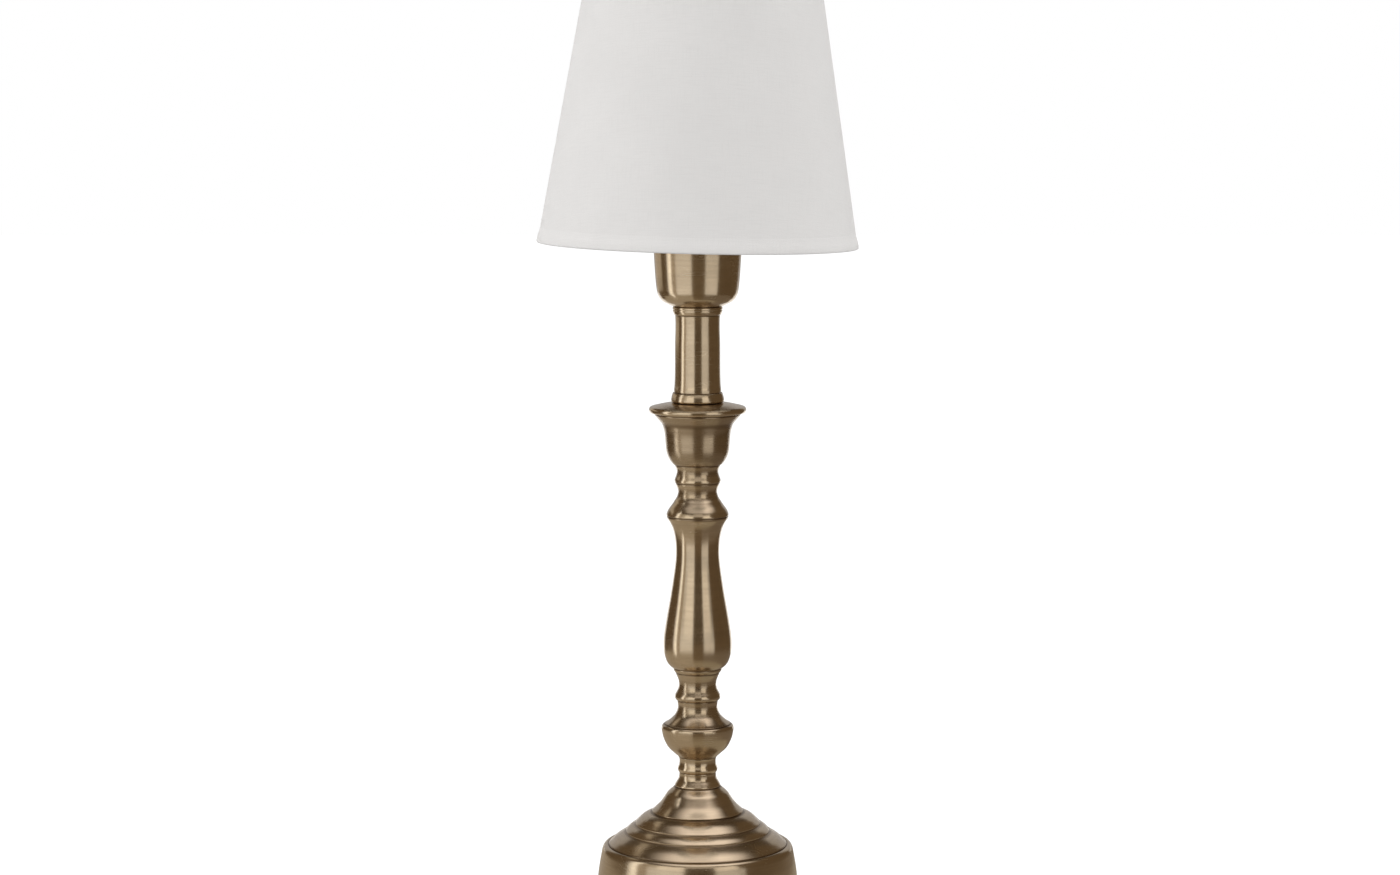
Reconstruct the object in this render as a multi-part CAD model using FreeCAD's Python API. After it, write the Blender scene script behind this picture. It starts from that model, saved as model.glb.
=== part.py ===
import FreeCAD, Part
import math
import os

# Lamp in candlestick form: a turned brass column on a stepped base, and a leaning linen shade.
# Millimetres. Z is up, the table is at zero and the column stands on the Z axis.
# Tables that end in shares hold (share of the height, share of the largest radius).

# Threaded rod and its fasteners
rod_radius = 5.0
rod_bore_radius = 3.5
rod_clearance = 0.15
rod_projection = 1.5
nut_across_flats = 14.0
nut_thickness = 4.0
washer_radius = 10.0
washer_thickness = 1.2
cup_washer_radius = 9.0

# Base: a hollow stepped dome over a barrel-shaped drum, with a rolled foot
base_height = 76.3
base_radius = 63.0
base_wall = 1.8
foot_overhang = 1.0
foot_height = 7.0
foot_gap = 0.5
foot_neck_depth = 0.7
drum_edge_share = 0.515
belly_share = 0.223
bell_shares = ((1.0, 0.232), (0.987, 0.249), (0.967, 0.278), (0.946, 0.304), (0.92, 0.325), (0.895, 0.345),
               (0.868, 0.368), (0.845, 0.393), (0.822, 0.422), (0.805, 0.444), (0.797, 0.454))
bell_lip_shares = ((0.797, 0.454), (0.791, 0.453), (0.788, 0.445))
ring_shares = (((0.788, 0.445), (0.756, 0.544), (0.697, 0.623)),
               ((0.687, 0.621), (0.662, 0.679), (0.632, 0.717)),
               ((0.622, 0.714), (0.577, 0.813), (0.523, 0.891)))
drum_top_shares = ((0.0, 0.889), (0.006, 0.913), (-0.027, 0.941), (-0.062, 0.951), (-0.15, 0.963),
                   (-0.33, 0.983), (-0.5, 0.997))

# What closes and weights the base
felt_thickness = 1.5
felt_margin = 1.2
plate_thickness = 1.2
plate_clearance = 0.1
weight_lift = 1.2
weight_thickness = 20.0
weight_clearance = 1.5
hub_clearance = 0.5
recess_radius = 13.0
cable_room = 7.0
slot_width = 13.0

# Bush of the cable outlet, in the back wall of the drum
outlet_height = 16.5
bush_bore_radius = 3.4
bush_wall = 1.8
bush_depth = 7.0
bush_flange_width = 2.2
bush_flange_thickness = 1.5
bush_clearance = 0.1
bush_bite = 1.0

# Turned pieces of the column, from the base upwards
foot_collar_height = 9.0
foot_collar_radius = 14.3
foot_collar_shares = (((0.0, 0.97), (0.03, 1.0)),
                      ((0.03, 1.0), (0.13, 1.0)),
                      ((0.13, 1.0), (0.21, 0.972), (0.36, 0.916), (0.5, 0.86), (0.67, 0.818), (0.83, 0.804),
                       (1.0, 0.808)))

bead_height = 9.7
bead_radius = 12.5
bead_shares = (((0.0, 0.925), (0.12, 0.98), (0.24, 1.0), (0.35, 0.981), (0.485, 0.941), (0.63, 0.914),
                (0.77, 0.91), (0.92, 0.925), (1.0, 0.945)),)

knop_height = 21.2
knop_radius = 22.65
knop_shares = (((0.0, 0.525), (0.04, 0.55), (0.104, 0.618), (0.175, 0.693), (0.288, 0.804), (0.396, 0.87),
                (0.514, 0.923), (0.632, 0.9625), (0.745, 0.985), (0.863, 1.0), (0.925, 0.996), (0.972, 0.971),
                (1.0, 0.925)),)

knop_cap_height = 15.1
knop_cap_radius = 20.8
knop_cap_shares = (((0.0, 0.99), (0.03, 1.0)),
                   ((0.03, 1.0), (0.08, 0.928), (0.166, 0.846), (0.27, 0.76), (0.364, 0.697), (0.464, 0.654),
                    (0.55, 0.625), (0.642, 0.606), (0.728, 0.593), (0.82, 0.593), (0.907, 0.604), (1.0, 0.612)))

lower_ring_height = 17.7
lower_ring_radius = 14.3
lower_ring_shares = (((0.0, 0.915), (0.073, 0.985), (0.13, 1.0), (0.192, 0.99), (0.266, 0.948), (0.339, 0.897),
                      (0.412, 0.859), (0.49, 0.834), (0.565, 0.82), (0.638, 0.822), (0.712, 0.832),
                      (0.79, 0.864), (0.864, 0.898), (0.943, 0.944), (1.0, 0.965)),)

baluster_height = 99.0
baluster_radius = 21.43
baluster_shares = (((0.0, 0.65), (0.015, 0.698), (0.024, 0.709)),
                   ((0.024, 0.709), (0.027, 0.7)),
                   ((0.027, 0.7), (0.043, 0.805), (0.066, 0.889), (0.092, 0.94), (0.116, 0.972), (0.141, 0.992),
                    (0.176, 1.0), (0.23, 0.99), (0.293, 0.951), (0.383, 0.882), (0.485, 0.7975),
                    (0.588, 0.7225), (0.677, 0.665), (0.741, 0.638), (0.793, 0.635), (0.856, 0.658),
                    (0.907, 0.7065), (0.947, 0.774), (0.972, 0.841), (0.985, 0.885)),
                   ((0.985, 0.885), (1.0, 0.9)))

upper_bell_height = 21.0
upper_bell_radius = 19.45
upper_bell_shares = (((0.0, 0.985), (0.03, 1.0), (0.06, 0.997), (0.11, 0.98), (0.166, 0.955), (0.222, 0.918),
                      (0.28, 0.874), (0.342, 0.823), (0.404, 0.778), (0.467, 0.737), (0.529, 0.691),
                      (0.59, 0.6576), (0.652, 0.6396), (0.714, 0.625), (0.776, 0.631), (0.838, 0.649),
                      (0.9, 0.676), (0.957, 0.7), (1.0, 0.706)),)

upper_ring_height = 11.2
upper_ring_radius = 14.4
upper_ring_shares = (((0.0, 0.975), (0.1, 1.0), (0.18, 0.993), (0.26, 0.972), (0.357, 0.943), (0.473, 0.914),
                      (0.589, 0.899), (0.705, 0.908), (0.82, 0.935), (0.94, 0.972), (1.0, 0.98)),)

candle_cup_height = 32.4
candle_cup_radius = 26.8
candle_cup_shares = (((0.0, 0.54), (0.0185, 0.571), (0.059, 0.614), (0.096, 0.646), (0.133, 0.67), (0.173, 0.6925),
                      (0.21, 0.708), (0.284, 0.7306), (0.4, 0.744), (0.5185, 0.756), (0.636, 0.7705),
                      (0.713, 0.794), (0.79, 0.822), (0.86, 0.889), (0.932, 0.965), (0.97, 1.0)),
                     ((0.97, 1.0), (1.0, 0.995)))

drip_pan_height = 6.8
drip_pan_radius = 30.2
drip_pan_shares = (((0.0, 0.905), (0.02, 0.93)),
                   ((0.02, 0.93), (0.09, 0.982), (0.22, 1.0), (0.44, 1.0), (0.56, 0.983), (0.63, 0.944)),
                   ((0.63, 0.944), (0.84, 0.735), (1.0, 0.5)))

seat_ring_height = 6.3
seat_ring_radius = 16.5
seat_ring_shares = (((0.0, 0.922), (0.08, 0.985)),
                    ((0.08, 0.985), (0.16, 1.0), (0.4, 0.994), (0.65, 0.975), (0.9, 0.945)),
                    ((0.9, 0.945), (0.96, 0.93), (1.0, 0.9)))

tube_height = 48.1
tube_radius = 14.95
tube_wall = 1.6
tube_shares = (((0.0, 0.985), (0.027, 0.985), (0.079, 0.967), (0.158, 0.955), (0.262, 0.947), (0.4, 0.943),
                (0.547, 0.942), (0.678, 0.936), (0.807, 0.924), (0.91, 0.923), (0.9626, 0.928), (1.0, 0.934)),)

top_collar_height = 5.6
top_collar_radius = 15.5
top_collar_shares = (((0.0, 0.915), (0.125, 0.95), (0.34, 0.978), (0.55, 0.993), (0.62, 0.985)),
                     ((0.62, 0.985), (0.7, 1.0)),
                     ((0.7, 1.0), (0.84, 1.0), (0.94, 0.982), (1.0, 0.95)))

# Walls of the hollow castings
casting_wall = 3.0
casting_end_wall = 4.0

# Cup that hides the lampholder
cup_height = 36.0
cup_radius = 27.3
cup_wall = 1.2
cup_shares = ((0.0, 0.53), (0.012, 0.605), (0.0417, 0.681), (0.075, 0.769), (0.108, 0.822), (0.142, 0.862),
              (0.175, 0.886), (0.208, 0.907), (0.244, 0.921), (0.311, 0.936), (0.4167, 0.952), (0.553, 0.967),
              (0.69, 0.979), (0.83, 0.99), (1.0, 1.0))

# Lampholder with a screw shell
holder_neck_radius = 8.0
holder_neck_height = 6.0
holder_slope_height = 5.0
holder_skirt_height = 5.0
holder_cap_wall = 1.6
holder_radius = 19.5
holder_wall = 1.5
holder_body_height = 30.0
holder_flange_radius = 24.5
holder_flange_thickness = 1.5
holder_flange_rise = 14.8
holder_mouth_clearance = 1.3
holder_lip_thickness = 1.5
insert_clearance = 0.1
insert_thickness = 5.0
shell_clearance = 0.35
shell_wall = 0.5
shell_height = 22.0
shell_flange_width = 2.5
shell_flange_thickness = 0.8
terminal_screw_place = 9.0
terminal_screw_radius = 1.5
terminal_screw_clearance = 0.1
terminal_screw_depth = 4.0
terminal_head_radius = 3.0
terminal_head_thickness = 2.0

# Contact leaf and the post that carries it
post_width = 8.0
post_depth = 4.5
post_height = 3.0
post_place = 6.5
leaf_width = 6.0
leaf_thickness = 0.6
leaf_reach = 3.5
leaf_gap = 0.3
leaf_eye_radius = 0.9
leaf_button_radius = 2.5
leaf_button_height = 0.5

# Candle bulb with a screw cap
bulb_gap = 0.3
bulb_tip_radius = 4.5
bulb_tip_height = 1.2
insulator_height = 4.0
insulator_tip_radius = 5.5
bulb_cap_radius = 13.1
bulb_cap_height = 19.0
bulb_cap_wall = 0.5
thread_pitch = 3.6
thread_depth = 0.7
thread_turns = 4
bulb_neck_clearance = 0.2
bulb_neck_depth = 4.0
bulb_radius = 17.5
bulb_glass_height = 75.0
bulb_glass_wall = 0.8
bulb_shares = ((0.13, 0.81), (0.26, 0.95), (0.37, 1.0), (0.5, 0.95), (0.64, 0.79), (0.78, 0.54), (0.9, 0.28),
               (0.975, 0.1))

# Ring that clamps the shade on the lampholder
clamp_ring_clearance = 0.4
clamp_ring_radius = 24.0
clamp_ring_height = 8.0
clamp_foot_radius = 25.5
clamp_foot_height = 1.5
flute_count = 24
flute_radius = 1.0
flute_bite = 0.5

# Shade: linen on a stiff liner, wrapped round a ring of wire at each end
shade_lean_deg = 1.3
shade_height = 175.0
shade_bottom_radius = 99.2
shade_top_radius = 70.5
fabric_thickness = 0.5
liner_thickness = 0.6
wire_radius = 1.6
hem_height = 6.0
hem_proud = 0.8
hem_inner_thickness = 0.5
hem_inner_height = 5.5
hem_taper_height = 4.0
hem_tip_height = 0.5
spider_rise = 1.2
arm_count = 3
arm_radius = 1.4
arm_first_deg = 90.0
arm_gap = 0.3
carrier_clearance = 0.7
carrier_radius = 28.0
carrier_thickness = 1.6

overrun = 1.0

UP = FreeCAD.Vector(0, 0, 1)
ORIGIN = FreeCAD.Vector(0, 0, 0)
ACROSS = FreeCAD.Vector(1, 0, 0)
BACK = FreeCAD.Vector(0, 1, 0)
full_turn = 360.0

# Heights of the seats, each on top of the piece below
plate_z = felt_thickness
plate_top_z = plate_z + plate_thickness
weight_z = plate_top_z + weight_lift
recess_depth = cable_room + rod_projection + nut_thickness + washer_thickness
washer_z = weight_z + recess_depth - washer_thickness
nut_z = washer_z - nut_thickness
rod_bottom_z = nut_z - rod_projection
foot_collar_z = base_height
bead_z = foot_collar_z + foot_collar_height
knop_z = bead_z + bead_height
knop_cap_z = knop_z + knop_height
lower_ring_z = knop_cap_z + knop_cap_height
baluster_z = lower_ring_z + lower_ring_height
upper_bell_z = baluster_z + baluster_height
upper_ring_z = upper_bell_z + upper_bell_height
candle_cup_z = upper_ring_z + upper_ring_height
drip_pan_z = candle_cup_z + candle_cup_height
seat_ring_z = drip_pan_z + drip_pan_height
tube_z = seat_ring_z + seat_ring_height
top_collar_z = tube_z + tube_height
cup_z = top_collar_z + top_collar_height
cup_washer_z = cup_z + cup_wall
top_nut_z = cup_washer_z + washer_thickness
holder_cap_z = top_nut_z + nut_thickness
rod_top_z = holder_cap_z + holder_neck_height
holder_body_z = holder_cap_z + holder_neck_height + holder_slope_height + holder_skirt_height
holder_flange_z = holder_body_z + holder_flange_rise
carrier_z = holder_flange_z + holder_flange_thickness
clamp_ring_z = carrier_z + carrier_thickness
insert_top_z = holder_body_z + insert_thickness
leaf_z = insert_top_z + post_height - leaf_thickness
bulb_z = leaf_z + leaf_thickness + leaf_button_height + bulb_gap
insulator_z = bulb_z + bulb_tip_height
bulb_cap_z = insulator_z + insulator_height
bulb_glass_z = bulb_cap_z + bulb_cap_height

# Sizes that follow from their neighbours
drum_edge_height = base_height * drum_edge_share
belly_height = base_height * belly_share
foot_radius = base_radius + foot_overhang
piece_bore_radius = rod_radius + rod_clearance
cavity_radius = base_radius - base_wall
hub_radius = base_radius * bell_shares[0][1] - base_wall - hub_clearance
bush_radius = bush_bore_radius + bush_wall
bush_flange_radius = bush_radius + bush_flange_width
holder_inner_radius = holder_radius - holder_wall
shell_inner_radius = bulb_cap_radius + shell_clearance
shell_radius = shell_inner_radius + shell_wall
mouth_radius = bulb_cap_radius + holder_mouth_clearance
thread_root_radius = bulb_cap_radius - thread_depth
bulb_cap_inner_radius = thread_root_radius - bulb_cap_wall
bulb_neck_radius = bulb_cap_inner_radius - bulb_neck_clearance
carrier_bore_radius = holder_radius + carrier_clearance
clamp_bore_radius = holder_radius + clamp_ring_clearance
arm_start_radius = (clamp_foot_radius + carrier_radius) / 2

# The shade's own frame: its origin is the centre of the lower edge, and it leans towards +X
shade_slope = math.atan2(shade_bottom_radius - shade_top_radius, shade_height)
wire_half_span = wire_radius / math.cos(shade_slope)
hem_width = hem_proud + fabric_thickness + liner_thickness + 2 * wire_half_span + hem_inner_thickness
hem_round = hem_width / 2
wire_rise = hem_round
pocket_floor = wire_rise - wire_radius
carrier_middle_z = carrier_z + carrier_thickness / 2
shade_z = carrier_middle_z + spider_rise - wire_rise
shade_place = FreeCAD.Placement(FreeCAD.Vector(0, 0, shade_z), FreeCAD.Rotation(BACK, shade_lean_deg))


def point(radius, height):
    """A point of a half section: distance from the axis and height."""
    return FreeCAD.Vector(radius, 0, height)


def smooth(points):
    """One smooth edge through the points, or a straight one through two."""
    if len(points) == 2:
        return Part.LineSegment(points[0], points[1]).toShape()
    curve = Part.BSplineCurve()
    curve.interpolate(points)
    return curve.toShape()


def lines(points):
    """Straight edges from point to point."""
    return [Part.LineSegment(a, b).toShape() for a, b in zip(points, points[1:])]


def spin(edges):
    """The solid that a closed half section sweeps round the axis."""
    face = Part.Face(Part.Wire(edges))
    return solid(face.revolve(ORIGIN, UP, full_turn))


def solid(shape):
    """The single solid of a shape, facing outwards."""
    body = shape.Solids[0]
    if body.Volume < 0:
        body.reverse()
    return body


def disc(radius, bottom, thickness, bore=0):
    """A round plate on the axis, with a hole where a bore is given."""
    plate = Part.makeCylinder(radius, thickness, point(0, bottom), UP)
    if bore:
        plate = plate.cut(Part.makeCylinder(bore, thickness + 2 * overrun, point(0, bottom - overrun), UP))
    return solid(plate)


def placed(run, bottom, height, radius):
    """Points of a table of shares at their real place."""
    return [point(radius * across, bottom + height * up) for up, across in run]


def turned(bottom, height, radius, runs, bore):
    """A turned piece: its outline from the bottom up, closed along the bore."""
    edges = [smooth(placed(run, bottom, height, radius)) for run in runs]
    first = placed(runs[0], bottom, height, radius)[0]
    last = placed(runs[-1], bottom, height, radius)[-1]
    edges += lines([last, point(bore, last.z), point(bore, first.z), first])
    return spin(edges)


def hollow(piece, bottom, height, radius, runs, wall):
    """A casting cored out to an even wall, with solid ends for its seats."""
    longest = max(runs, key=len)
    inner = [point(p.x - wall, p.z) for p in placed(longest, bottom, height, radius)]
    low = inner[0]
    high = inner[-1]
    core = spin([smooth(inner)] + lines([high, point(0, high.z), point(0, low.z), low]))
    window = disc(radius + overrun, bottom + casting_end_wall, height - 2 * casting_end_wall)
    return solid(piece.cut(core.common(window)))


def hexagon(bottom):
    """A hexagon nut on the rod."""
    corner = nut_across_flats / 2 / math.cos(math.pi / 6)
    corners = [FreeCAD.Vector(corner * math.cos(i * math.pi / 3), corner * math.sin(i * math.pi / 3), bottom)
               for i in range(7)]
    prism = Part.Face(Part.makePolygon(corners)).extrude(UP * nut_thickness)
    bore = Part.makeCylinder(piece_bore_radius, nut_thickness + 2 * overrun, point(0, bottom - overrun), UP)
    return solid(prism.cut(bore))


def base_outline(shift):
    """Edges of the dome and drum from the seat down to the belly, moved in and down by the shift."""
    def at(share):
        return point(base_radius * share[1] - shift, base_height * share[0] - shift)

    def on_drum(share):
        return point(base_radius * share[1] - shift, drum_edge_height * (1 + share[0]) - shift)

    edges = [smooth([at(s) for s in bell_shares])]
    edges += lines([at(s) for s in bell_lip_shares])
    rings = [[at(s) for s in ring] for ring in ring_shares]
    drum = [on_drum(s) for s in drum_top_shares] + [point(base_radius - shift, belly_height - shift)]
    for ring, below in zip(rings, rings[1:] + [drum]):
        edges.append(Part.Arc(ring[0], ring[1], ring[2]).toShape())
        edges += lines([ring[2], below[0]])
    edges.append(smooth(drum))
    return edges, at(bell_shares[0]), drum[-1]


def make_base_shell():
    """Stepped dome and drum in one shell, with the rolled foot and the cable hole."""
    outline, seat, belly = base_outline(0)
    neck = point(base_radius - foot_neck_depth, foot_height)
    foot = point(base_radius - foot_neck_depth, foot_gap)
    roll = point(foot_radius, (foot_height + foot_gap) / 2)
    below = [Part.LineSegment(belly, neck).toShape(), Part.Arc(neck, roll, foot).toShape()]
    outer = spin(outline + below + lines([foot, point(0, foot_gap), point(0, seat.z), seat]))
    lining, inner_seat, inner_belly = base_outline(base_wall)
    floor = point(cavity_radius, foot_gap - overrun)
    cavity = spin(lining + lines([inner_belly, floor, point(0, floor.z), point(0, inner_seat.z), inner_seat]))
    shell = outer.cut(cavity).cut(disc(piece_bore_radius, foot_gap, base_height))
    start = FreeCAD.Vector(0, 0, outlet_height)
    hole = Part.makeCylinder(bush_radius + bush_clearance, base_radius + overrun, start, BACK)
    return solid(shell.cut(hole))


def make_outlet_bush(base_shell):
    """Bush with a flange that lies on the drum's curved wall."""
    start = FreeCAD.Vector(0, base_radius - bush_depth, outlet_height)
    flange_start = FreeCAD.Vector(0, base_radius - bush_bite, outlet_height)
    length = bush_depth + bush_flange_thickness
    stem = Part.makeCylinder(bush_radius, length, start, BACK)
    flange = Part.makeCylinder(bush_flange_radius, bush_bite + bush_flange_thickness, flange_start, BACK)
    bore = Part.makeCylinder(bush_bore_radius, length + 2 * overrun, start - BACK * overrun, BACK)
    return solid(stem.fuse(flange).cut(bore).cut(base_shell))


def make_base_weight():
    """Iron weight with a hub up to the dome, a recess for the nut and a slot for the cable."""
    weight_radius = cavity_radius - weight_clearance
    hub_top = base_height - base_wall
    weight = disc(weight_radius, weight_z, weight_thickness).fuse(disc(hub_radius, weight_z, hub_top - weight_z))
    weight = weight.cut(disc(piece_bore_radius, weight_z - overrun, base_height))
    weight = weight.cut(disc(recess_radius, weight_z - overrun, recess_depth + overrun))
    slot_start = FreeCAD.Vector(-slot_width / 2, recess_radius - overrun, weight_z - overrun)
    slot = Part.makeBox(slot_width, base_radius, weight_thickness + 2 * overrun, slot_start)
    return solid(weight.cut(slot).removeSplitter())


def make_rod():
    """Hollow threaded rod that clamps the whole column."""
    return disc(rod_radius, rod_bottom_z, rod_top_z - rod_bottom_z, rod_bore_radius)


def make_cup():
    """Thin brass cup round the lampholder, open at the top."""
    outer = placed(cup_shares, cup_z, cup_height, cup_radius)
    inner = [point(p.x - cup_wall, p.z + cup_wall) for p in outer[:-1]]
    inner.append(point(outer[-1].x - cup_wall, outer[-1].z))
    floor = [inner[0], point(piece_bore_radius, inner[0].z), point(piece_bore_radius, cup_z), outer[0]]
    return spin([smooth(outer)] + lines([outer[-1], inner[-1]]) + [smooth(inner[::-1])] + lines(floor))


def make_holder_cap():
    """Lower half of the lampholder, screwed on the rod."""
    slope_z = holder_cap_z + holder_neck_height
    skirt_z = slope_z + holder_slope_height
    inner = holder_radius - holder_cap_wall
    rim = [point(holder_neck_radius, holder_cap_z), point(holder_neck_radius, slope_z),
           point(holder_radius, skirt_z), point(holder_radius, holder_body_z), point(inner, holder_body_z),
           point(inner, skirt_z + holder_cap_wall / 2),
           point(holder_neck_radius - holder_cap_wall / 2, slope_z + holder_cap_wall),
           point(piece_bore_radius, slope_z + holder_cap_wall), point(piece_bore_radius, holder_cap_z)]
    return spin(lines(rim + rim[:1]))


def make_holder_body():
    """Upper half of the lampholder: a sleeve with the flange that carries the shade."""
    top = holder_body_z + holder_body_height
    lip_z = top - holder_lip_thickness
    flange_top = holder_flange_z + holder_flange_thickness
    rim = [point(holder_inner_radius, holder_body_z), point(holder_radius, holder_body_z),
           point(holder_radius, holder_flange_z), point(holder_flange_radius, holder_flange_z),
           point(holder_flange_radius, flange_top), point(holder_radius, flange_top), point(holder_radius, top),
           point(mouth_radius, top), point(mouth_radius, lip_z), point(holder_inner_radius, lip_z)]
    return spin(lines(rim + rim[:1]))


def screw_places():
    """The two places of the terminal screws."""
    return [FreeCAD.Vector(side * terminal_screw_place, 0, holder_body_z) for side in (-1, 1)]


def make_insert():
    """Ceramic disc that carries the contacts."""
    insert = disc(holder_inner_radius - insert_clearance, holder_body_z, insert_thickness)
    for place in screw_places():
        hole_radius = terminal_screw_radius + terminal_screw_clearance
        insert = insert.cut(Part.makeCylinder(hole_radius, terminal_screw_depth, place, UP))
    return solid(insert)


def make_screw_shell():
    """Brass shell that takes the bulb's thread."""
    flange_radius = shell_radius + shell_flange_width
    flange_top = insert_top_z + shell_flange_thickness
    top = insert_top_z + shell_height
    rim = [point(shell_inner_radius, insert_top_z), point(flange_radius, insert_top_z),
           point(flange_radius, flange_top), point(shell_radius, flange_top), point(shell_radius, top),
           point(shell_inner_radius, top)]
    return spin(lines(rim + rim[:1]))


def make_terminal_screws():
    """Two screws that enter the insert from below."""
    screws = []
    for place in screw_places():
        shank = Part.makeCylinder(terminal_screw_radius, terminal_screw_depth, place, UP)
        head = Part.makeCylinder(terminal_head_radius, terminal_head_thickness, place, -UP)
        screws.append(solid(shank.fuse(head)))
    return Part.makeCompound(screws)


def make_contact_post():
    """Block on the insert that holds the root of the contact leaf."""
    corner = FreeCAD.Vector(-post_width / 2, post_place, insert_top_z)
    return Part.makeBox(post_width, post_depth, post_height, corner)


def make_contact_leaf():
    """Springy strip with a rolled eye at its root and a button under the bulb's tip."""
    eye_place = post_place - leaf_gap - leaf_eye_radius
    corner = FreeCAD.Vector(-leaf_width / 2, -leaf_reach, leaf_z)
    strip = Part.makeBox(leaf_width, leaf_reach + eye_place, leaf_thickness, corner)
    eye_end = FreeCAD.Vector(-leaf_width / 2, eye_place, leaf_z + leaf_thickness / 2)
    eye = Part.makeCylinder(leaf_eye_radius, leaf_width, eye_end, ACROSS)
    return solid(strip.fuse(eye).fuse(disc(leaf_button_radius, leaf_z, leaf_thickness + leaf_button_height)))


def make_bulb_cap():
    """Screw cap of the bulb: a thin shell with rounded thread rings."""
    inner = bulb_cap_inner_radius
    root = thread_root_radius
    thread_z = bulb_cap_z + bulb_cap_height - thread_pitch * thread_turns - thread_pitch / 2
    edges = lines([point(inner, bulb_cap_z), point(root, bulb_cap_z), point(root, thread_z)])
    for turn in range(thread_turns):
        low = thread_z + turn * thread_pitch
        crest = point(bulb_cap_radius, low + thread_pitch / 2)
        edges.append(Part.Arc(point(root, low), crest, point(root, low + thread_pitch)).toShape())
    edges += lines([point(root, thread_z + thread_turns * thread_pitch), point(root, bulb_glass_z),
                    point(inner, bulb_glass_z), point(inner, bulb_cap_z)])
    return spin(edges)


def make_insulator():
    """Black glass cone between the cap and the tip."""
    rim = [point(0, insulator_z), point(insulator_tip_radius, insulator_z),
           point(thread_root_radius, insulator_z + insulator_height / 2), point(thread_root_radius, bulb_cap_z),
           point(0, bulb_cap_z)]
    return spin(lines(rim + rim[:1]))


def bulb_solid(wall):
    """The bulb's glass as a full body, drawn in by the wall."""
    bottom = point(bulb_neck_radius - wall, bulb_glass_z - bulb_neck_depth)
    neck = point(bottom.x, bulb_glass_z)
    tip = point(0, bulb_glass_z + bulb_glass_height - wall)
    flanks = [point(p.x - wall, p.z) for p in placed(bulb_shares, bulb_glass_z, bulb_glass_height, bulb_radius)]
    curve = Part.BSplineCurve()
    curve.interpolate(Points=[neck] + flanks + [tip], InitialTangent=UP, FinalTangent=-ACROSS)
    return spin(lines([bottom, neck]) + [curve.toShape()] + lines([tip, point(0, bottom.z), bottom]))


def make_bulb_glass():
    """Opal glass envelope, hollow and open at the neck."""
    return solid(bulb_solid(0).cut(bulb_solid(bulb_glass_wall)))


def make_clamp_ring():
    """Threaded ring with a fluted grip."""
    top = clamp_ring_z + clamp_ring_height
    foot_top = clamp_ring_z + clamp_foot_height
    rim = [point(clamp_bore_radius, clamp_ring_z), point(clamp_foot_radius, clamp_ring_z),
           point(clamp_foot_radius, foot_top), point(clamp_ring_radius, foot_top), point(clamp_ring_radius, top),
           point(clamp_bore_radius, top)]
    ring = spin(lines(rim + rim[:1]))
    place = clamp_ring_radius + flute_radius - flute_bite
    for i in range(flute_count):
        turn = 2 * math.pi * i / flute_count
        centre = FreeCAD.Vector(place * math.cos(turn), place * math.sin(turn), foot_top)
        ring = ring.cut(Part.makeCylinder(flute_radius, clamp_ring_height, centre, UP))
    return solid(ring)


def shade_radius(height):
    """Outer radius of the linen at a height in the shade's own frame."""
    return shade_bottom_radius + (shade_top_radius - shade_bottom_radius) * height / shade_height


def shade_point(inset, height):
    """A point of the shade's half section, measured inwards from the linen's outer face."""
    return point(shade_radius(height) - inset, height)


def wire_centre(height):
    """Centre of a ring of wire that lies against the liner."""
    return shade_point(fabric_thickness + liner_thickness + wire_half_span, height)


def make_ring_wire(height):
    """Ring of wire inside a hem."""
    centre = wire_centre(height)
    ring = Part.makeTorus(centre.x, wire_radius, point(0, height), UP)
    ring.Placement = shade_place.multiply(ring.Placement)
    return ring


def make_liner():
    """Stiff cone that the linen is laminated to."""
    low = pocket_floor
    high = shade_height - pocket_floor
    inner = fabric_thickness + liner_thickness
    rim = [shade_point(inner, low), shade_point(fabric_thickness, low), shade_point(fabric_thickness, high),
           shade_point(inner, high)]
    liner = spin(lines(rim + rim[:1]))
    liner.Placement = shade_place
    return liner


def hem_section(flip):
    """Half section of one rolled hem, from the liner's outer face round to the linen's outer face."""
    def at(inset, height):
        return shade_point(inset, shade_height - height if flip else height)

    back = fabric_thickness + liner_thickness
    leg = back + 2 * wire_half_span
    skin = leg + hem_inner_thickness
    tip = hem_inner_height + hem_taper_height
    inside = [at(fabric_thickness, pocket_floor), at(leg, pocket_floor), at(leg, hem_inner_height), at(back, tip),
              at(back, tip + hem_tip_height), at(skin, hem_inner_height), at(skin, hem_round)]
    outside = [at(-hem_proud, hem_round), at(-hem_proud, hem_height), at(0, hem_height)]
    roll = Part.Arc(inside[-1], at(skin - hem_round, 0), outside[0]).toShape()
    return inside, roll, outside


def make_fabric(arms):
    """Linen cover with a rolled hem round the wire at each end, notched for the arms."""
    low_inside, low_roll, low_outside = hem_section(False)
    high_inside, high_roll, high_outside = hem_section(True)
    edges = lines(low_inside) + [low_roll] + lines(low_outside + high_outside[::-1]) + [high_roll]
    edges += lines(high_inside[::-1] + low_inside[:1])
    fabric = spin(edges)
    fabric.Placement = shade_place
    for arm in arms:
        fabric = fabric.cut(arm)
    return solid(fabric)


def arm_rods(radius):
    """The arms from the carrier ring out to the lower ring of wire, as round bars of one radius."""
    wire = wire_centre(wire_rise)
    bars = []
    for i in range(arm_count):
        turn = math.radians(arm_first_deg + full_turn * i / arm_count)
        across = FreeCAD.Vector(math.cos(turn), math.sin(turn), 0)
        start = across * arm_start_radius + point(0, carrier_middle_z)
        end = shade_place.multVec(across * wire.x + point(0, wire_rise))
        bars.append(Part.makeCylinder(radius, (end - start).Length, start, end - start))
    return bars


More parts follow.
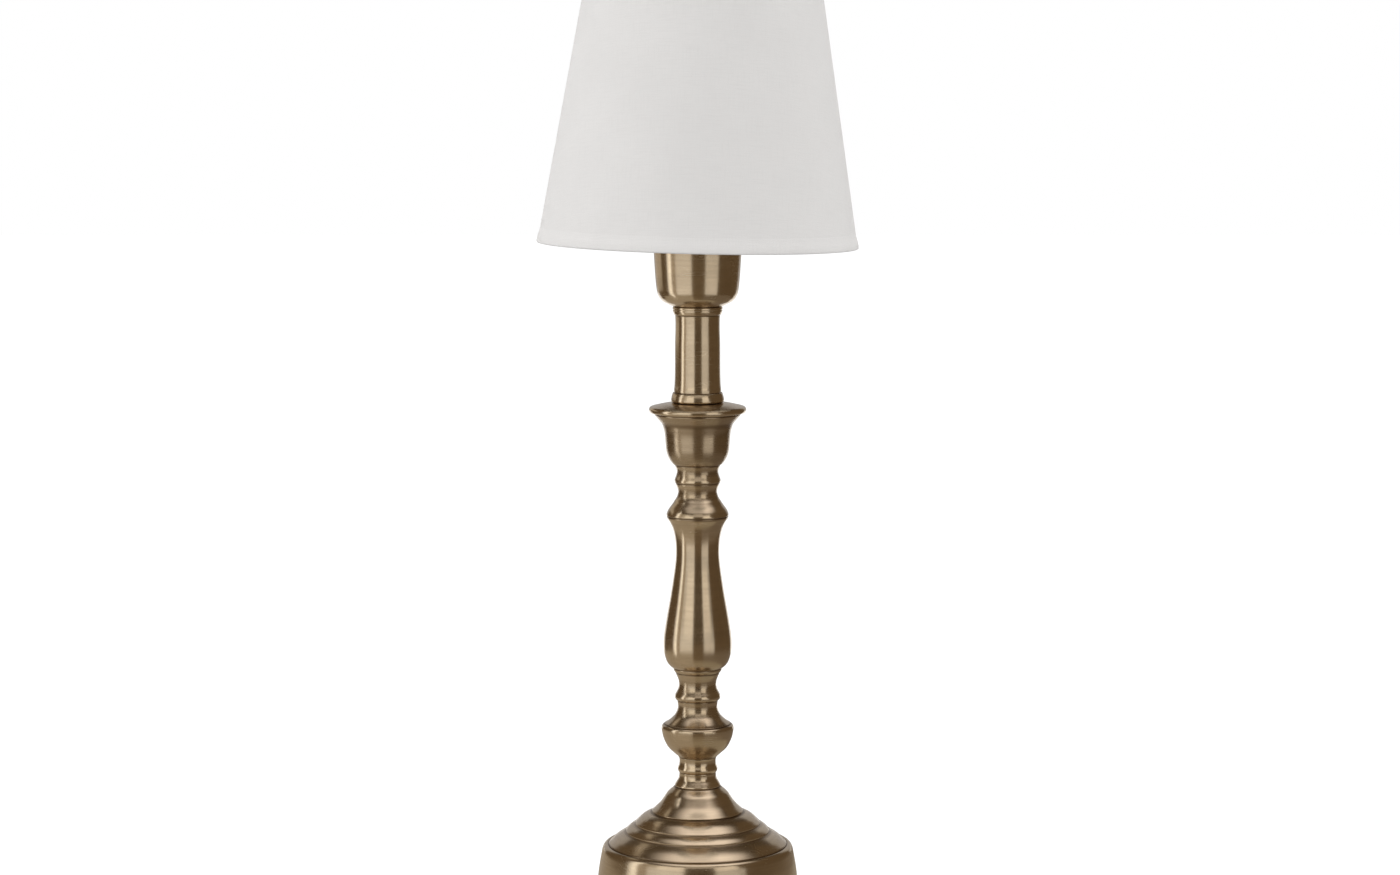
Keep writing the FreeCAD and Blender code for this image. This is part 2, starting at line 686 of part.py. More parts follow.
def make_spider(ring_wire):
    """Flat carrier ring with arms welded to the lower ring of wire."""
    spider = disc(carrier_radius, carrier_z, carrier_thickness, carrier_bore_radius)
    for arm in arm_rods(arm_radius):
        spider = spider.fuse(arm)
    return solid(spider.cut(ring_wire))


def build_parts():
    """Every piece of the lamp under its node name."""
    base_shell = make_base_shell()
    bottom_wire = make_ring_wire(wire_rise)
    bore = piece_bore_radius
    parts = {
        "base_felt": disc(base_radius - felt_margin - base_wall, 0, felt_thickness),
        "bottom_plate": disc(cavity_radius - plate_clearance, plate_z, plate_thickness),
        "base_weight": make_base_weight(),
        "base_washer": disc(washer_radius, washer_z, washer_thickness, bore),
        "base_nut": hexagon(nut_z),
        "base_shell": base_shell,
        "outlet_bush": make_outlet_bush(base_shell),
        "threaded_rod": make_rod(),
        "foot_collar": turned(foot_collar_z, foot_collar_height, foot_collar_radius, foot_collar_shares, bore),
        "column_bead": turned(bead_z, bead_height, bead_radius, bead_shares, bore),
        "lower_knop": turned(knop_z, knop_height, knop_radius, knop_shares, bore),
        "knop_cap": turned(knop_cap_z, knop_cap_height, knop_cap_radius, knop_cap_shares, bore),
        "lower_ring": turned(lower_ring_z, lower_ring_height, lower_ring_radius, lower_ring_shares, bore),
        "baluster": turned(baluster_z, baluster_height, baluster_radius, baluster_shares, bore),
        "upper_bell": turned(upper_bell_z, upper_bell_height, upper_bell_radius, upper_bell_shares, bore),
        "upper_ring": turned(upper_ring_z, upper_ring_height, upper_ring_radius, upper_ring_shares, bore),
        "candle_cup": turned(candle_cup_z, candle_cup_height, candle_cup_radius, candle_cup_shares, bore),
        "drip_pan": turned(drip_pan_z, drip_pan_height, drip_pan_radius, drip_pan_shares, bore),
        "tube_seat_ring": turned(seat_ring_z, seat_ring_height, seat_ring_radius, seat_ring_shares, bore),
        "candle_tube": turned(tube_z, tube_height, tube_radius, tube_shares, bore),
        "tube_top_collar": turned(top_collar_z, top_collar_height, top_collar_radius, top_collar_shares, bore),
        "lampholder_cup": make_cup(),
        "cup_washer": disc(cup_washer_radius, cup_washer_z, washer_thickness, bore),
        "cup_nut": hexagon(top_nut_z),
        "lampholder_cap": make_holder_cap(),
        "lampholder_body": make_holder_body(),
        "lampholder_insert": make_insert(),
        "screw_shell": make_screw_shell(),
        "terminal_screws": make_terminal_screws(),
        "contact_post": make_contact_post(),
        "contact_leaf": make_contact_leaf(),
        "bulb_tip": disc(bulb_tip_radius, bulb_z, bulb_tip_height),
        "bulb_insulator": make_insulator(),
        "bulb_cap": make_bulb_cap(),
        "bulb_glass": make_bulb_glass(),
        "clamp_ring": make_clamp_ring(),
        "shade_spider": make_spider(bottom_wire),
        "bottom_ring_wire": bottom_wire,
        "top_ring_wire": make_ring_wire(shade_height - wire_rise),
        "shade_liner": make_liner(),
        "shade_fabric": make_fabric(arm_rods(arm_radius + arm_gap)),
    }
    for name, bottom, height, radius, runs in (
            ("lower_knop", knop_z, knop_height, knop_radius, knop_shares),
            ("baluster", baluster_z, baluster_height, baluster_radius, baluster_shares),
            ("candle_cup", candle_cup_z, candle_cup_height, candle_cup_radius, candle_cup_shares)):
        parts[name] = hollow(parts[name], bottom, height, radius, runs, casting_wall)
    parts["candle_tube"] = hollow(parts["candle_tube"], tube_z, tube_height, tube_radius, tube_shares, tube_wall)
    return parts


os.makedirs("parts", exist_ok=True)
for name, shape in build_parts().items():
    shape.exportStep(f"parts/{name}.step")
    print(f"{name:20s} solids {len(shape.Solids)} valid {shape.isValid()} volume {shape.Volume:.1f}")
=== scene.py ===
"""Dresses the candle lamp: turned brass, linen shade, lampholder, bulb and felt.

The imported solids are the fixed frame. Brass, linen, felt and bulb glass are modelled anew
over their solids, and every other solid keeps its shape and gets a finish of its own.
Lengths are in metres and angles in degrees unless a name says otherwise.
"""

from __future__ import annotations

import logging
import math
from dataclasses import dataclass, field
from enum import Enum
from typing import Sequence, Union

import bpy
import numpy as np
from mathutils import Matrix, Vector

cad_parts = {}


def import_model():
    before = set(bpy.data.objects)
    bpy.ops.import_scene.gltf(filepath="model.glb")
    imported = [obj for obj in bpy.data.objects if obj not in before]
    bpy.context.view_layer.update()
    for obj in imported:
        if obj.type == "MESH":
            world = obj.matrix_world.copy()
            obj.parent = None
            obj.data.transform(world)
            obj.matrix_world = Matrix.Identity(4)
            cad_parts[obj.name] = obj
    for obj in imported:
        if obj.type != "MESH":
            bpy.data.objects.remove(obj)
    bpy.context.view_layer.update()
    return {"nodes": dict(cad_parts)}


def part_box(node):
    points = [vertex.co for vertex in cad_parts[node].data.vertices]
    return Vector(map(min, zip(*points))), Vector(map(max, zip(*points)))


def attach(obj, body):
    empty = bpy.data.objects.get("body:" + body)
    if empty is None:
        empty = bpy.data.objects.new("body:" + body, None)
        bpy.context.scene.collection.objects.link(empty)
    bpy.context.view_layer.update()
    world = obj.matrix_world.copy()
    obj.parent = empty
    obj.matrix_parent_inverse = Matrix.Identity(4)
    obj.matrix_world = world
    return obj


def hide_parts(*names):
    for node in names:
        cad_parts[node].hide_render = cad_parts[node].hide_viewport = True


LOG = logging.getLogger("candle_lamp")

Point = tuple[float, float]
Colour = tuple[float, float, float]
Node = bpy.types.Node
Socket = bpy.types.NodeSocket
Piece = bpy.types.Object
Feed = Union[Socket, float, Sequence[float]]
Feeds = dict[Union[str, int], Feed]

HOLLOW = "hollow"
CLOTH = "cloth"

AXIS = 1e-5  # radius that counts as the axis
SAME = 1e-6  # distance within which two points of an outline are one
WELD = 0.00002  # distance within which the vertices of a turned piece are joined
ROD_BORE = 0.00515
BRASS_EDGE = 0.0003
MIDDLE = (0.3, 0.7)  # the range that most of a noise lies in
VECTORS = ("Place", "Cloth")


class Body(Enum):
    """The bodies that pieces ride on."""

    LAMP = "lamp"
    BULB = "bulb"
    SHADE = "shade"


class Part(Enum):
    """The two ends of the shade that have a hem."""

    LOWER = "lower"
    UPPER = "upper"


# Node trees


class Wiring:
    """Adds nodes to a tree and joins their sockets."""

    def __init__(self, tree: bpy.types.NodeTree) -> None:
        """Wraps a node tree."""
        self.tree = tree

    def feed(self, target: Node, feeds: Feeds) -> None:
        """Links a node's inputs, or sets their values.

        Args:
            target: The node.
            feeds: An output, a number or a list of numbers for each input, by name or number.
        """
        for key, value in feeds.items():
            if isinstance(value, Socket):
                self.tree.links.new(value, target.inputs[key])
            else:
                target.inputs[key].default_value = value

    def node(self, kind: str, feeds: Feeds | None = None, **settings: object) -> Node:
        """Adds a node.

        Args:
            kind: The node's type.
            feeds: What goes into its inputs.
            settings: Its other properties.

        Returns:
            The new node.
        """
        made = self.tree.nodes.new(kind)
        for key, value in settings.items():
            setattr(made, key, value)
        self.feed(made, feeds or {})
        return made

    def maths(self, operation: str, first: Feed, second: Feed = 0.0) -> Socket:
        """Returns the result of a Math node."""
        return self.node("ShaderNodeMath", {0: first, 1: second}, operation=operation).outputs[0]

    def times(self, first: Feed, second: Feed) -> Socket:
        """Returns two numbers' product."""
        return self.maths("MULTIPLY", first, second)

    def plus(self, first: Feed, second: Feed) -> Socket:
        """Returns two numbers' sum."""
        return self.maths("ADD", first, second)

    def spread(self, value: Feed, low: Feed, high: Feed, to_low: Feed = 0.0, to_high: Feed = 1.0) -> Socket:
        """Returns a value mapped from one range onto another, which stops at the range's ends."""
        feeds = {"Value": value, "From Min": low, "From Max": high, "To Min": to_low, "To Max": to_high}
        return self.node("ShaderNodeMapRange", feeds, clamp=True).outputs["Result"]

    def noise(self, place: Feed, scale: Feed, detail: float = 2.0, roughness: float = 0.5) -> Socket:
        """Returns three-dimensional noise, about 0 to 1, with so many cells to a unit of the coordinates."""
        feeds = {"Vector": place, "Scale": scale, "Detail": detail, "Roughness": roughness}
        return self.node("ShaderNodeTexNoise", feeds).outputs[0]

    def blend(self, share: Feed, first: Feed, second: Feed) -> Socket:
        """Returns a colour with a share of the second one in the first."""
        return self.node("ShaderNodeMix", {0: share, 6: first, 7: second}, data_type="RGBA").outputs[2]

    def stretch(self, place: Feed, factors: Sequence[float]) -> Socket:
        """Returns coordinates times a factor each."""
        return self.node("ShaderNodeVectorMath", {0: place, 1: factors}, operation="MULTIPLY").outputs[0]

    def split(self, place: Feed) -> bpy.types.NodeOutputs:
        """Returns the X, Y and Z of coordinates."""
        return self.node("ShaderNodeSeparateXYZ", {0: place}).outputs

    def relief(self, height: Feed, depth: float, strength: float = 1.0, under: Feed | None = None) -> Socket:
        """Turns a height into a bumped normal.

        Args:
            height: The height, 0 to 1.
            depth: How deep a height of 1 is.
            strength: The share of the bump that is kept.
            under: A normal that this one adds to.

        Returns:
            The normal.
        """
        feeds: Feeds = {"Height": height, "Distance": depth, "Strength": strength}
        if under is not None:
            feeds["Normal"] = under
        return self.node("ShaderNodeBump", feeds).outputs["Normal"]

    def effect(self, kind: type[Effect], **feeds: Feed) -> bpy.types.NodeOutputs:
        """Returns the outputs of an effect that is fed with the values named."""
        return self.node("ShaderNodeGroup", feeds, node_tree=kind().group()).outputs


class Effect:
    """A node group that several finishes share. Each kind builds its own tree once.

    Attributes:
        title: The group's name.
        takes: Its inputs: coordinates where they are in VECTORS, else numbers.
        gives: Its outputs, all numbers.
    """

    title = "effect"
    takes: tuple[str, ...] = ()
    gives: tuple[str, ...] = ()

    def group(self) -> bpy.types.NodeTree:
        """Returns the group, built on first use."""
        if self.title in bpy.data.node_groups:
            return bpy.data.node_groups[self.title]
        tree = bpy.data.node_groups.new(self.title, "ShaderNodeTree")
        for name in self.takes:
            kind = "NodeSocketVector" if name in VECTORS else "NodeSocketFloat"
            tree.interface.new_socket(name=name, in_out="INPUT", socket_type=kind)
        for name in self.gives:
            tree.interface.new_socket(name=name, in_out="OUTPUT", socket_type="NodeSocketFloat")
        net = Wiring(tree)
        source, target = net.node("NodeGroupInput"), net.node("NodeGroupOutput")
        net.feed(target, self.results(net, source.outputs))
        return tree

    def results(self, net: Wiring, takes: bpy.types.NodeOutputs) -> Feeds:
        """Builds the effect's nodes.

        Args:
            net: The group's tree.
            takes: The group's inputs.

        Returns:
            The group's outputs.
        """
        raise NotImplementedError


class TurningMarks(Effect):
    """Fine rings that a cutting tool and a brush leave round the axis."""

    title = "turning marks"
    takes = ("Place", "Pitch", "Reach")
    gives = ("Height",)

    def results(self, net: Wiring, takes: bpy.types.NodeOutputs) -> Feeds:
        """Noise that is stretched round the axis and tight across it.

        Args:
            net: The group's tree.
            takes: The group's inputs.

        Returns:
            The group's outputs.
        """
        parts = net.split(takes["Place"])
        squares = [net.times(parts[i], parts[i]) for i in range(2)]
        radius = net.maths("SQRT", net.plus(net.plus(*squares), 1e-9))
        turns = [net.times(net.maths("DIVIDE", parts[i], radius), takes["Reach"]) for i in range(2)]
        across, along = [net.maths("DIVIDE", way, takes["Pitch"]) for way in (radius, parts[2])]
        place = net.node("ShaderNodeCombineXYZ", {0: turns[0], 1: turns[1], 2: across}).outputs[0]
        feeds = {"Vector": place, "W": along, "Scale": 1.0, "Detail": 2.0}
        return {"Height": net.node("ShaderNodeTexNoise", feeds, noise_dimensions="4D").outputs[0]}


class Tarnish(Effect):
    """Where brass has darkened: in hollows and seams, and in soft clouds elsewhere; it also carries the
    painted shade and painted highlight that some pieces get all over.
    """

    title = "tarnish"
    takes = ("Place", "Hollow")
    gives = ("Mask", "Clouds", "Edge")

    def results(self, net: Wiring, takes: bpy.types.NodeOutputs) -> Feeds:
        """Depth of the hollow, broken up by noise of two sizes.

        Args:
            net: The group's tree.
            takes: The group's inputs.

        Returns:
            The group's outputs.
        """
        clouds = net.noise(takes["Place"], 60.0, 3.0, 0.6)
        flecks = net.noise(takes["Place"], 900.0, 2.0, 0.6)
        # Hollow also holds each piece's painted shade and painted highlight shift, so Mask and Edge carry
        # them too.
        broken = net.plus(takes["Hollow"], net.times(net.maths("SUBTRACT", clouds, 0.5), 0.5))
        dusty = net.times(net.spread(flecks, 0.62, 0.8), 0.12)
        return {"Mask": net.maths("MAXIMUM", net.spread(broken, 0.1, 0.95), dusty),
                "Clouds": net.spread(clouds, *MIDDLE), "Edge": net.spread(broken, -0.25, -0.8)}


class Hairlines(Effect):
    """Sparse hairline scratches."""

    title = "hairlines"
    takes = ("Place",)
    gives = ("Mask",)

    def results(self, net: Wiring, takes: bpy.types.NodeOutputs) -> Feeds:
        """The middle line of stretched noise, kept only in patches.

        Args:
            net: The group's tree.
            takes: The group's inputs.

        Returns:
            The group's outputs.
        """
        lines = net.noise(net.stretch(takes["Place"], (40.0, 130.0, 300.0)), 1.0, 1.0)
        line = net.spread(net.maths("ABSOLUTE", net.maths("SUBTRACT", lines, 0.5)), 0.0, 0.006, 1.0, 0.0)
        return {"Mask": net.times(line, net.spread(net.noise(takes["Place"], 45.0, 1.0), 0.55, 0.65))}


class Grain(Effect):
    """Fine and coarse grain of a moulded, cast or pressed surface."""

    title = "grain"
    takes = ("Place", "Size")
    gives = ("Fine", "Coarse")

    def results(self, net: Wiring, takes: bpy.types.NodeOutputs) -> Feeds:
        """Two layers of noise, one eight times as coarse as the other.

        Args:
            net: The group's tree.
            takes: The group's inputs.

        Returns:
            The group's outputs.
        """
        scale = net.maths("DIVIDE", 1.0, takes["Size"])
        return {"Fine": net.noise(takes["Place"], scale, 3.0, 0.6),
                "Coarse": net.noise(takes["Place"], net.maths("DIVIDE", scale, 8.0), 2.0)}


class Weave(Effect):
    """Plain weave of linen with thick and thin threads."""

    title = "weave"
    takes = ("Cloth", "Thread")
    gives = ("Height", "Slub", "Gap")

    def results(self, net: Wiring, takes: bpy.types.NodeOutputs) -> Feeds:
        """Threads over and under each other, and slubs that run along them.

        Args:
            net: The group's tree.
            takes: The group's inputs.

        Returns:
            The group's outputs.
        """
        parts = net.split(takes["Cloth"])
        wander = net.times(net.noise(takes["Cloth"], 260.0, 1.0), 0.9)
        threads = [net.plus(net.maths("DIVIDE", parts[i], takes["Thread"]), wander) for i in range(2)]
        turns = [net.times(thread, math.pi) for thread in threads]
        rounds = [net.maths("ABSOLUTE", net.maths("SINE", turn)) for turn in turns]
        flip = net.spread(net.times(*[net.maths("COSINE", turn) for turn in turns]), -0.6, 0.6)
        lower = net.times(rounds[1], net.maths("SUBTRACT", 1.0, flip))
        height = net.plus(net.times(rounds[0], flip), lower)
        across, along = [net.noise(net.stretch(takes["Cloth"], factors), 1.0, 2.0, 0.6)
                         for factors in ((70.0, 1500.0, 1.0), (1500.0, 70.0, 1.0))]
        slub = net.plus(net.spread(across, 0.45, 0.75), net.spread(along, 0.5, 0.8))
        # Gap is painted shade between the threads.
        return {"Height": net.plus(height, net.times(slub, 0.5)), "Slub": net.maths("MINIMUM", slub, 1.0),
                "Gap": net.spread(height, 0.35, 0.0)}


# Finishes


@dataclass(frozen=True)
class Finish:
    """A finish: a material that is built once and given to pieces and solids.

    Attributes:
        title: The material's name.
        colour: Its main colour.
        roughness: Its middle roughness.
    """

    title: str
    colour: Colour
    roughness: float

    def material(self) -> bpy.types.Material:
        """Returns the material, built on first use."""
        if self.title in bpy.data.materials:
            return bpy.data.materials[self.title]
        made = bpy.data.materials.new(self.title)
        made.use_nodes = True
        made.diffuse_color = (*self.colour, 1.0)
        net, shader = Wiring(made.node_tree), made.node_tree.nodes["Principled BSDF"]
        net.feed(shader, {"Base Color": (*self.colour, 1.0), "Roughness": self.roughness})
        net.feed(shader, self.inputs(net, net.node("ShaderNodeTexCoord").outputs["Object"]))
        return made

    def inputs(self, net: Wiring, place: Socket) -> Feeds:
        """Builds the finish's nodes.

        Args:
            net: The material's tree.
            place: Object coordinates.

        Returns:
            The shader's inputs.
        """
        raise NotImplementedError

    def shade(self, share: float) -> tuple[float, float, float, float]:
        """Returns the colour times a share, for light and dark places."""
        return (*(min(part * share, 1.0) for part in self.colour), 1.0)

    def tone(self, net: Wiring, noise: Socket, dark: float, light: float) -> Socket:
        """Returns the colour between two shares of itself, as a noise has it."""
        return net.blend(net.spread(noise, *MIDDLE), self.shade(dark), self.shade(light))

    def roughen(self, net: Wiring, noise: Socket, less: float, more: float) -> Socket:
        """Returns the roughness between a little less and a little more, as a noise has it."""
        return net.spread(noise, *MIDDLE, self.roughness - less, self.roughness + more)


@dataclass(frozen=True)
class AntiqueBrass(Finish):
    """Turned brass with a brushed satin face, darkened in its hollows.

    Attributes:
        tarnish: Colour of the dark hollows.
        pitch: Distance between the tool's rings.
    """

    tarnish: Colour = (0.16, 0.10, 0.05)
    pitch: float = 0.00028

    def inputs(self, net: Wiring, place: Socket) -> Feeds:
        """Clouded brass, brown hollows, bright edges and fine rings.

        Args:
            net: The material's tree.
            place: Object coordinates.

        Returns:
            The shader's inputs.
        """
        hollow = net.node("ShaderNodeAttribute", attribute_name=HOLLOW).outputs["Fac"]
        dark = net.effect(Tarnish, Place=place, Hollow=hollow)
        fine = net.effect(TurningMarks, Place=place, Pitch=self.pitch, Reach=1.6)["Height"]
        wide = net.effect(TurningMarks, Place=place, Pitch=self.pitch * 6, Reach=0.8)["Height"]
        scratch = net.effect(Hairlines, Place=place)["Mask"]
        # The tarnish mask darkens real patina and the candle cup's painted shade; the edge brightens rubbed
        # edges and the painted highlight of the bead, collar and tube.
        clouded = net.blend(dark["Clouds"], self.shade(0.90), self.shade(1.05))
        ringed = net.blend(net.spread(wide, 0.35, 0.65, 0.0, 0.5), clouded, self.shade(0.84))
        edged = net.blend(net.times(dark["Edge"], 0.5), ringed, self.shade(1.22))
        dulled = net.plus(self.roughen(net, fine, 0.04, 0.05), net.times(dark["Mask"], 0.16))
        ringed_normal = net.relief(fine, 0.0000012, 0.8, net.relief(wide, 0.000004, 0.6))
        return {"Base Color": net.blend(net.times(dark["Mask"], 0.75), edged, (*self.tarnish, 1.0)),
                "Roughness": net.plus(dulled, net.times(scratch, 0.1)),
                "Metallic": 1.0, "Anisotropic": 0.6, "Anisotropic Rotation": 0.25,
                "Tangent": net.node("ShaderNodeTangent", direction_type="RADIAL", axis="Z").outputs[0],
                "Normal": net.relief(scratch, -0.000004, 0.7, ringed_normal)}


@dataclass(frozen=True)
class PlainMetal(Finish):
    """Sheet, plated or cast metal with a fine grain.

    Attributes:
        grain: Size of the grain.
        depth: How deep the grain is.
        coarse: How much the colour varies over the piece.
    """

    grain: float = 0.0004
    depth: float = 0.000004
    coarse: float = 0.1

    def inputs(self, net: Wiring, place: Socket) -> Feeds:
        """Grain in the colour, the roughness and the relief.

        Args:
            net: The material's tree.
            place: Object coordinates.

        Returns:
            The shader's inputs.
        """
        grain = net.effect(Grain, Place=place, Size=self.grain)
        scratch = net.times(net.effect(Hairlines, Place=place)["Mask"], 0.3)
        toned = self.tone(net, grain["Coarse"], 1 - self.coarse, 1 + self.coarse)
        return {"Base Color": net.blend(scratch, toned, self.shade(1.3)), "Metallic": 1.0,
                "Roughness": self.roughen(net, grain["Fine"], 0.06, 0.08),
                "Normal": net.relief(grain["Fine"], self.depth)}


@dataclass(frozen=True)
class Moulded(Finish):
    """Moulded plastic, ceramic or enamel with a slight skin texture.

    Attributes:
        grain: Size of the grain.
        depth: How deep the grain is.
        variation: How much the colour varies.
        coat: Weight of a clear coat.
    """

    grain: float = 0.0006
    depth: float = 0.00001
    variation: float = 0.08
    coat: float = 0.0

    def inputs(self, net: Wiring, place: Socket) -> Feeds:
        """Grain in the colour, the roughness and the relief, with scuffs.

        Args:
            net: The material's tree.
            place: Object coordinates.

        Returns:
            The shader's inputs.
        """
        grain = net.effect(Grain, Place=place, Size=self.grain)
        scuff = net.times(net.effect(Hairlines, Place=place)["Mask"], 0.15)
        return {"Base Color": self.tone(net, grain["Coarse"], 1 - self.variation, 1 + self.variation),
                "Roughness": net.plus(self.roughen(net, grain["Fine"], 0.05, 0.07), scuff),
                "Coat Weight": self.coat, "Normal": net.relief(grain["Fine"], self.depth)}


@dataclass(frozen=True)
class Linen(Finish):
    """Fine off-white linen in plain weave.

    Attributes:
        thread: Distance from thread to thread.
    """

    thread: float = 0.00042

    def inputs(self, net: Wiring, place: Socket) -> Feeds:
        """Threads, slubs and the shadow between the threads, on the cloth's own map.

        Args:
            net: The material's tree.
            place: Object coordinates.

        Returns:
            The shader's inputs.
        """
        cloth = net.node("ShaderNodeUVMap", uv_map=CLOTH).outputs[0]
        weave = net.effect(Weave, Cloth=cloth, Thread=self.thread)
        toned = self.tone(net, net.noise(place, 28.0, 2.0), 0.985, 1.01)
        slubbed = net.blend(net.times(weave["Slub"], 0.5), toned, self.shade(0.93))
        rough = net.spread(weave["Height"], 0.0, 1.2, self.roughness + 0.06, self.roughness - 0.06)
        return {"Base Color": net.blend(net.times(weave["Gap"], 0.5), slubbed, self.shade(0.78)),
                "Roughness": rough, "Sheen Weight": 0.12, "Sheen Roughness": 0.5, "Specular IOR Level": 0.25,
                "Normal": net.relief(weave["Height"], 0.00007, 0.8)}


@dataclass(frozen=True)
class PressedFelt(Finish):
    """Dense pressed felt of short fibres."""

    def inputs(self, net: Wiring, place: Socket) -> Feeds:
        """Crossed fibres in the colour and the relief.

        Args:
            net: The material's tree.
            place: Object coordinates.

        Returns:
            The shader's inputs.
        """
        fibres = [net.noise(net.stretch(place, factors), 1.0, 3.0, 0.7)
                  for factors in ((2600.0, 500.0, 500.0), (500.0, 2600.0, 500.0))]
        nap = net.maths("MAXIMUM", *fibres)
        return {"Base Color": net.blend(net.spread(nap, 0.45, 0.75), self.shade(0.7), self.shade(1.9)),
                "Roughness": net.spread(nap, 0.4, 0.8, self.roughness - 0.05, self.roughness),
                "Sheen Weight": 0.3, "Normal": net.relief(nap, 0.0002)}


@dataclass(frozen=True)
class OpalGlass(Finish):
    """Milky glass of an unlit bulb."""

    def inputs(self, net: Wiring, place: Socket) -> Feeds:
        """An even white with a slight unevenness of the inner powder.

        Args:
            net: The material's tree.
            place: Object coordinates.

        Returns:
            The shader's inputs.
        """
        waver = net.noise(place, 90.0, 1.0)
        return {"Base Color": self.tone(net, net.noise(place, 500.0, 3.0), 0.97, 1.02),
                "Roughness": self.roughen(net, waver, 0.03, 0.04),
                "Coat Weight": 0.6, "Coat Roughness": 0.05, "Normal": net.relief(waver, 0.00002, 0.5)}


BRASS = AntiqueBrass("antique brass", (0.62, 0.494, 0.342), 0.21)
LINEN = Linen("off-white linen", (0.752, 0.737, 0.723), 0.86)
FELT = PressedFelt("dark felt", (0.030, 0.029, 0.028), 0.95)
OPAL = OpalGlass("opal glass", (0.88, 0.87, 0.84), 0.16)
LINER = Moulded("shade liner", (0.80, 0.79, 0.76), 0.45, grain=0.0012, depth=0.000008, variation=0.02)
ENAMEL = Moulded("white enamel", (0.78, 0.77, 0.74), 0.3, grain=0.0015, depth=0.00002, variation=0.03,
                 coat=0.3)
BLACK = Moulded("black thermoset", (0.022, 0.021, 0.020), 0.42, grain=0.0005, depth=0.000015, variation=0.15)
RING = Moulded("off-white ring", (0.74, 0.73, 0.69), 0.38, grain=0.0006, depth=0.00001, variation=0.04)
CERAMIC = Moulded("steatite", (0.72, 0.70, 0.65), 0.6, grain=0.0003, depth=0.00002, variation=0.06)
BLACK_GLASS = Moulded("black glass", (0.012, 0.012, 0.014), 0.1, grain=0.002, depth=0.000006, variation=0.1,
                      coat=0.5)
ZINC = PlainMetal("zinc-plated steel", (0.60, 0.60, 0.58), 0.32)
IRON = PlainMetal("cast iron", (0.10, 0.095, 0.09), 0.62, grain=0.0011, depth=0.00009, coarse=0.25)
SHEET_BRASS = PlainMetal("sheet brass", (0.72, 0.57, 0.30), 0.28, grain=0.0003)
CAP_METAL = PlainMetal("pressed aluminium", (0.72, 0.72, 0.70), 0.3, grain=0.0003)


# Shapes


def release() -> None:
    """Deselects everything, so that an operator reaches only what is made next."""
    bpy.ops.object.select_all(action="DESELECT")


def pick(piece: Piece) -> None:
    """Makes a piece the only one that operators reach."""
    release()
    piece.select_set(True)
    bpy.context.view_layer.objects.active = piece


def edit(kind: str = "VERT", action: str = "SELECT") -> None:
    """Goes into edit mode with all vertices or faces selected or deselected."""
    bpy.ops.object.mode_set(mode="EDIT")
    bpy.ops.mesh.select_mode(type=kind)
    bpy.ops.mesh.select_all(action=action)


def leave() -> None:
    """Goes back to object mode."""
    bpy.ops.object.mode_set(mode="OBJECT")


def plane(name: str, size: float = 1.0, **place: Sequence[float]) -> Piece:
    """Adds a level plane.

    Args:
        name: Its name.
        size: Its width.
        place: Its location, if it isn't at the origin.

    Returns:
        The plane.
    """
    release()
    bpy.ops.mesh.primitive_plane_add(size=size, **place)
    made = bpy.context.object
    made.name = made.data.name = name
    return made


def fair(points: Sequence[Point], most: int = 9, fewest: int = 3, stride: float = 0.0014) -> list[Point]:
    """Draws a smooth line through points.

    Args:
        points: Points as (radius, height); two points make a straight line.
        most: The most steps between two of the points.
        fewest: The fewest steps between two of the points.
        stride: The distance that a new point is aimed at.

    Returns:
        The points of the line.
    """
    if len(points) == 2:
        return list(points)
    place = np.array(points, float)
    steps = np.linalg.norm(np.diff(place, axis=0), axis=1)
    slopes = np.diff(place, axis=0) / steps[:, None]
    weights = steps[:, None]
    inner = (slopes[:-1] * weights[1:] + slopes[1:] * weights[:-1]) / (weights[:-1] + weights[1:])
    tangents = np.vstack([slopes[:1], inner, slopes[-1:]])
    line: list[Point] = []
    for i, step in enumerate(steps):
        count = int(min(max(math.ceil(step / stride), fewest), most))
        for t in np.arange(count) / count:
            spot = (place[i] * (2 * t**3 - 3 * t**2 + 1) + place[i + 1] * (3 * t**2 - 2 * t**3)
                    + step * (tangents[i] * (t**3 - 2 * t**2 + t) + tangents[i + 1] * (t**3 - t**2)))
            line.append((float(spot[0]), float(spot[1])))
    line.append(points[-1])
    return line


def scaled(shares: Sequence[Point], radius: float, low: float, high: float) -> list[Point]:
    """Returns (share of height, share of radius) as (radius, height) between two heights."""
    return [(radius * across, low + (high - low) * up) for up, across in shares]


def arc(centre: Point, radius: float, start: float, end: float, steps: int) -> list[Point]:
    """Points of an arc.

    Args:
        centre: Its centre.
        radius: Its radius.
        start: Its first angle, from the radius direction towards up.
        end: Its last angle.
        steps: How many steps it has.

    Returns:
        The arc's points.
    """
    angles = [math.radians(start + (end - start) * i / steps) for i in range(steps + 1)]
    return [(centre[0] + radius * math.cos(a), centre[1] + radius * math.sin(a)) for a in angles]


def turn(name: str, outline: Sequence[Point], sides: int) -> Piece:
    """Turns an outline round the Z axis, ring by ring, as a closed body.

    Args:
        name: The piece's name.
        outline: Points as (radius, height), that come back to the first or start and end at the axis.
        sides: How many sides the round has.

    Returns:
        The piece, in object mode, at the origin.
    """
    release()
    radius, height = outline[0]
    bpy.ops.mesh.primitive_circle_add(vertices=sides, radius=radius, location=(0, 0, height))
    piece = bpy.context.object
    piece.name = piece.data.name = name
    bpy.ops.object.transform_apply(location=True, rotation=False, scale=False)
    edit()
    for next_radius, next_height in outline[1:]:
        bpy.ops.mesh.extrude_region_move(TRANSFORM_OT_translate={"value": (0, 0, next_height - height)})
        share = next_radius / radius
        bpy.ops.transform.resize(value=(share, share, 1), center_override=(0, 0, 0))
        radius, height = next_radius, next_height
    bpy.ops.mesh.select_all(action="SELECT")
    bpy.ops.mesh.remove_doubles(threshold=WELD)
    bpy.ops.mesh.normals_make_consistent(inside=False)
    leave()
    return piece


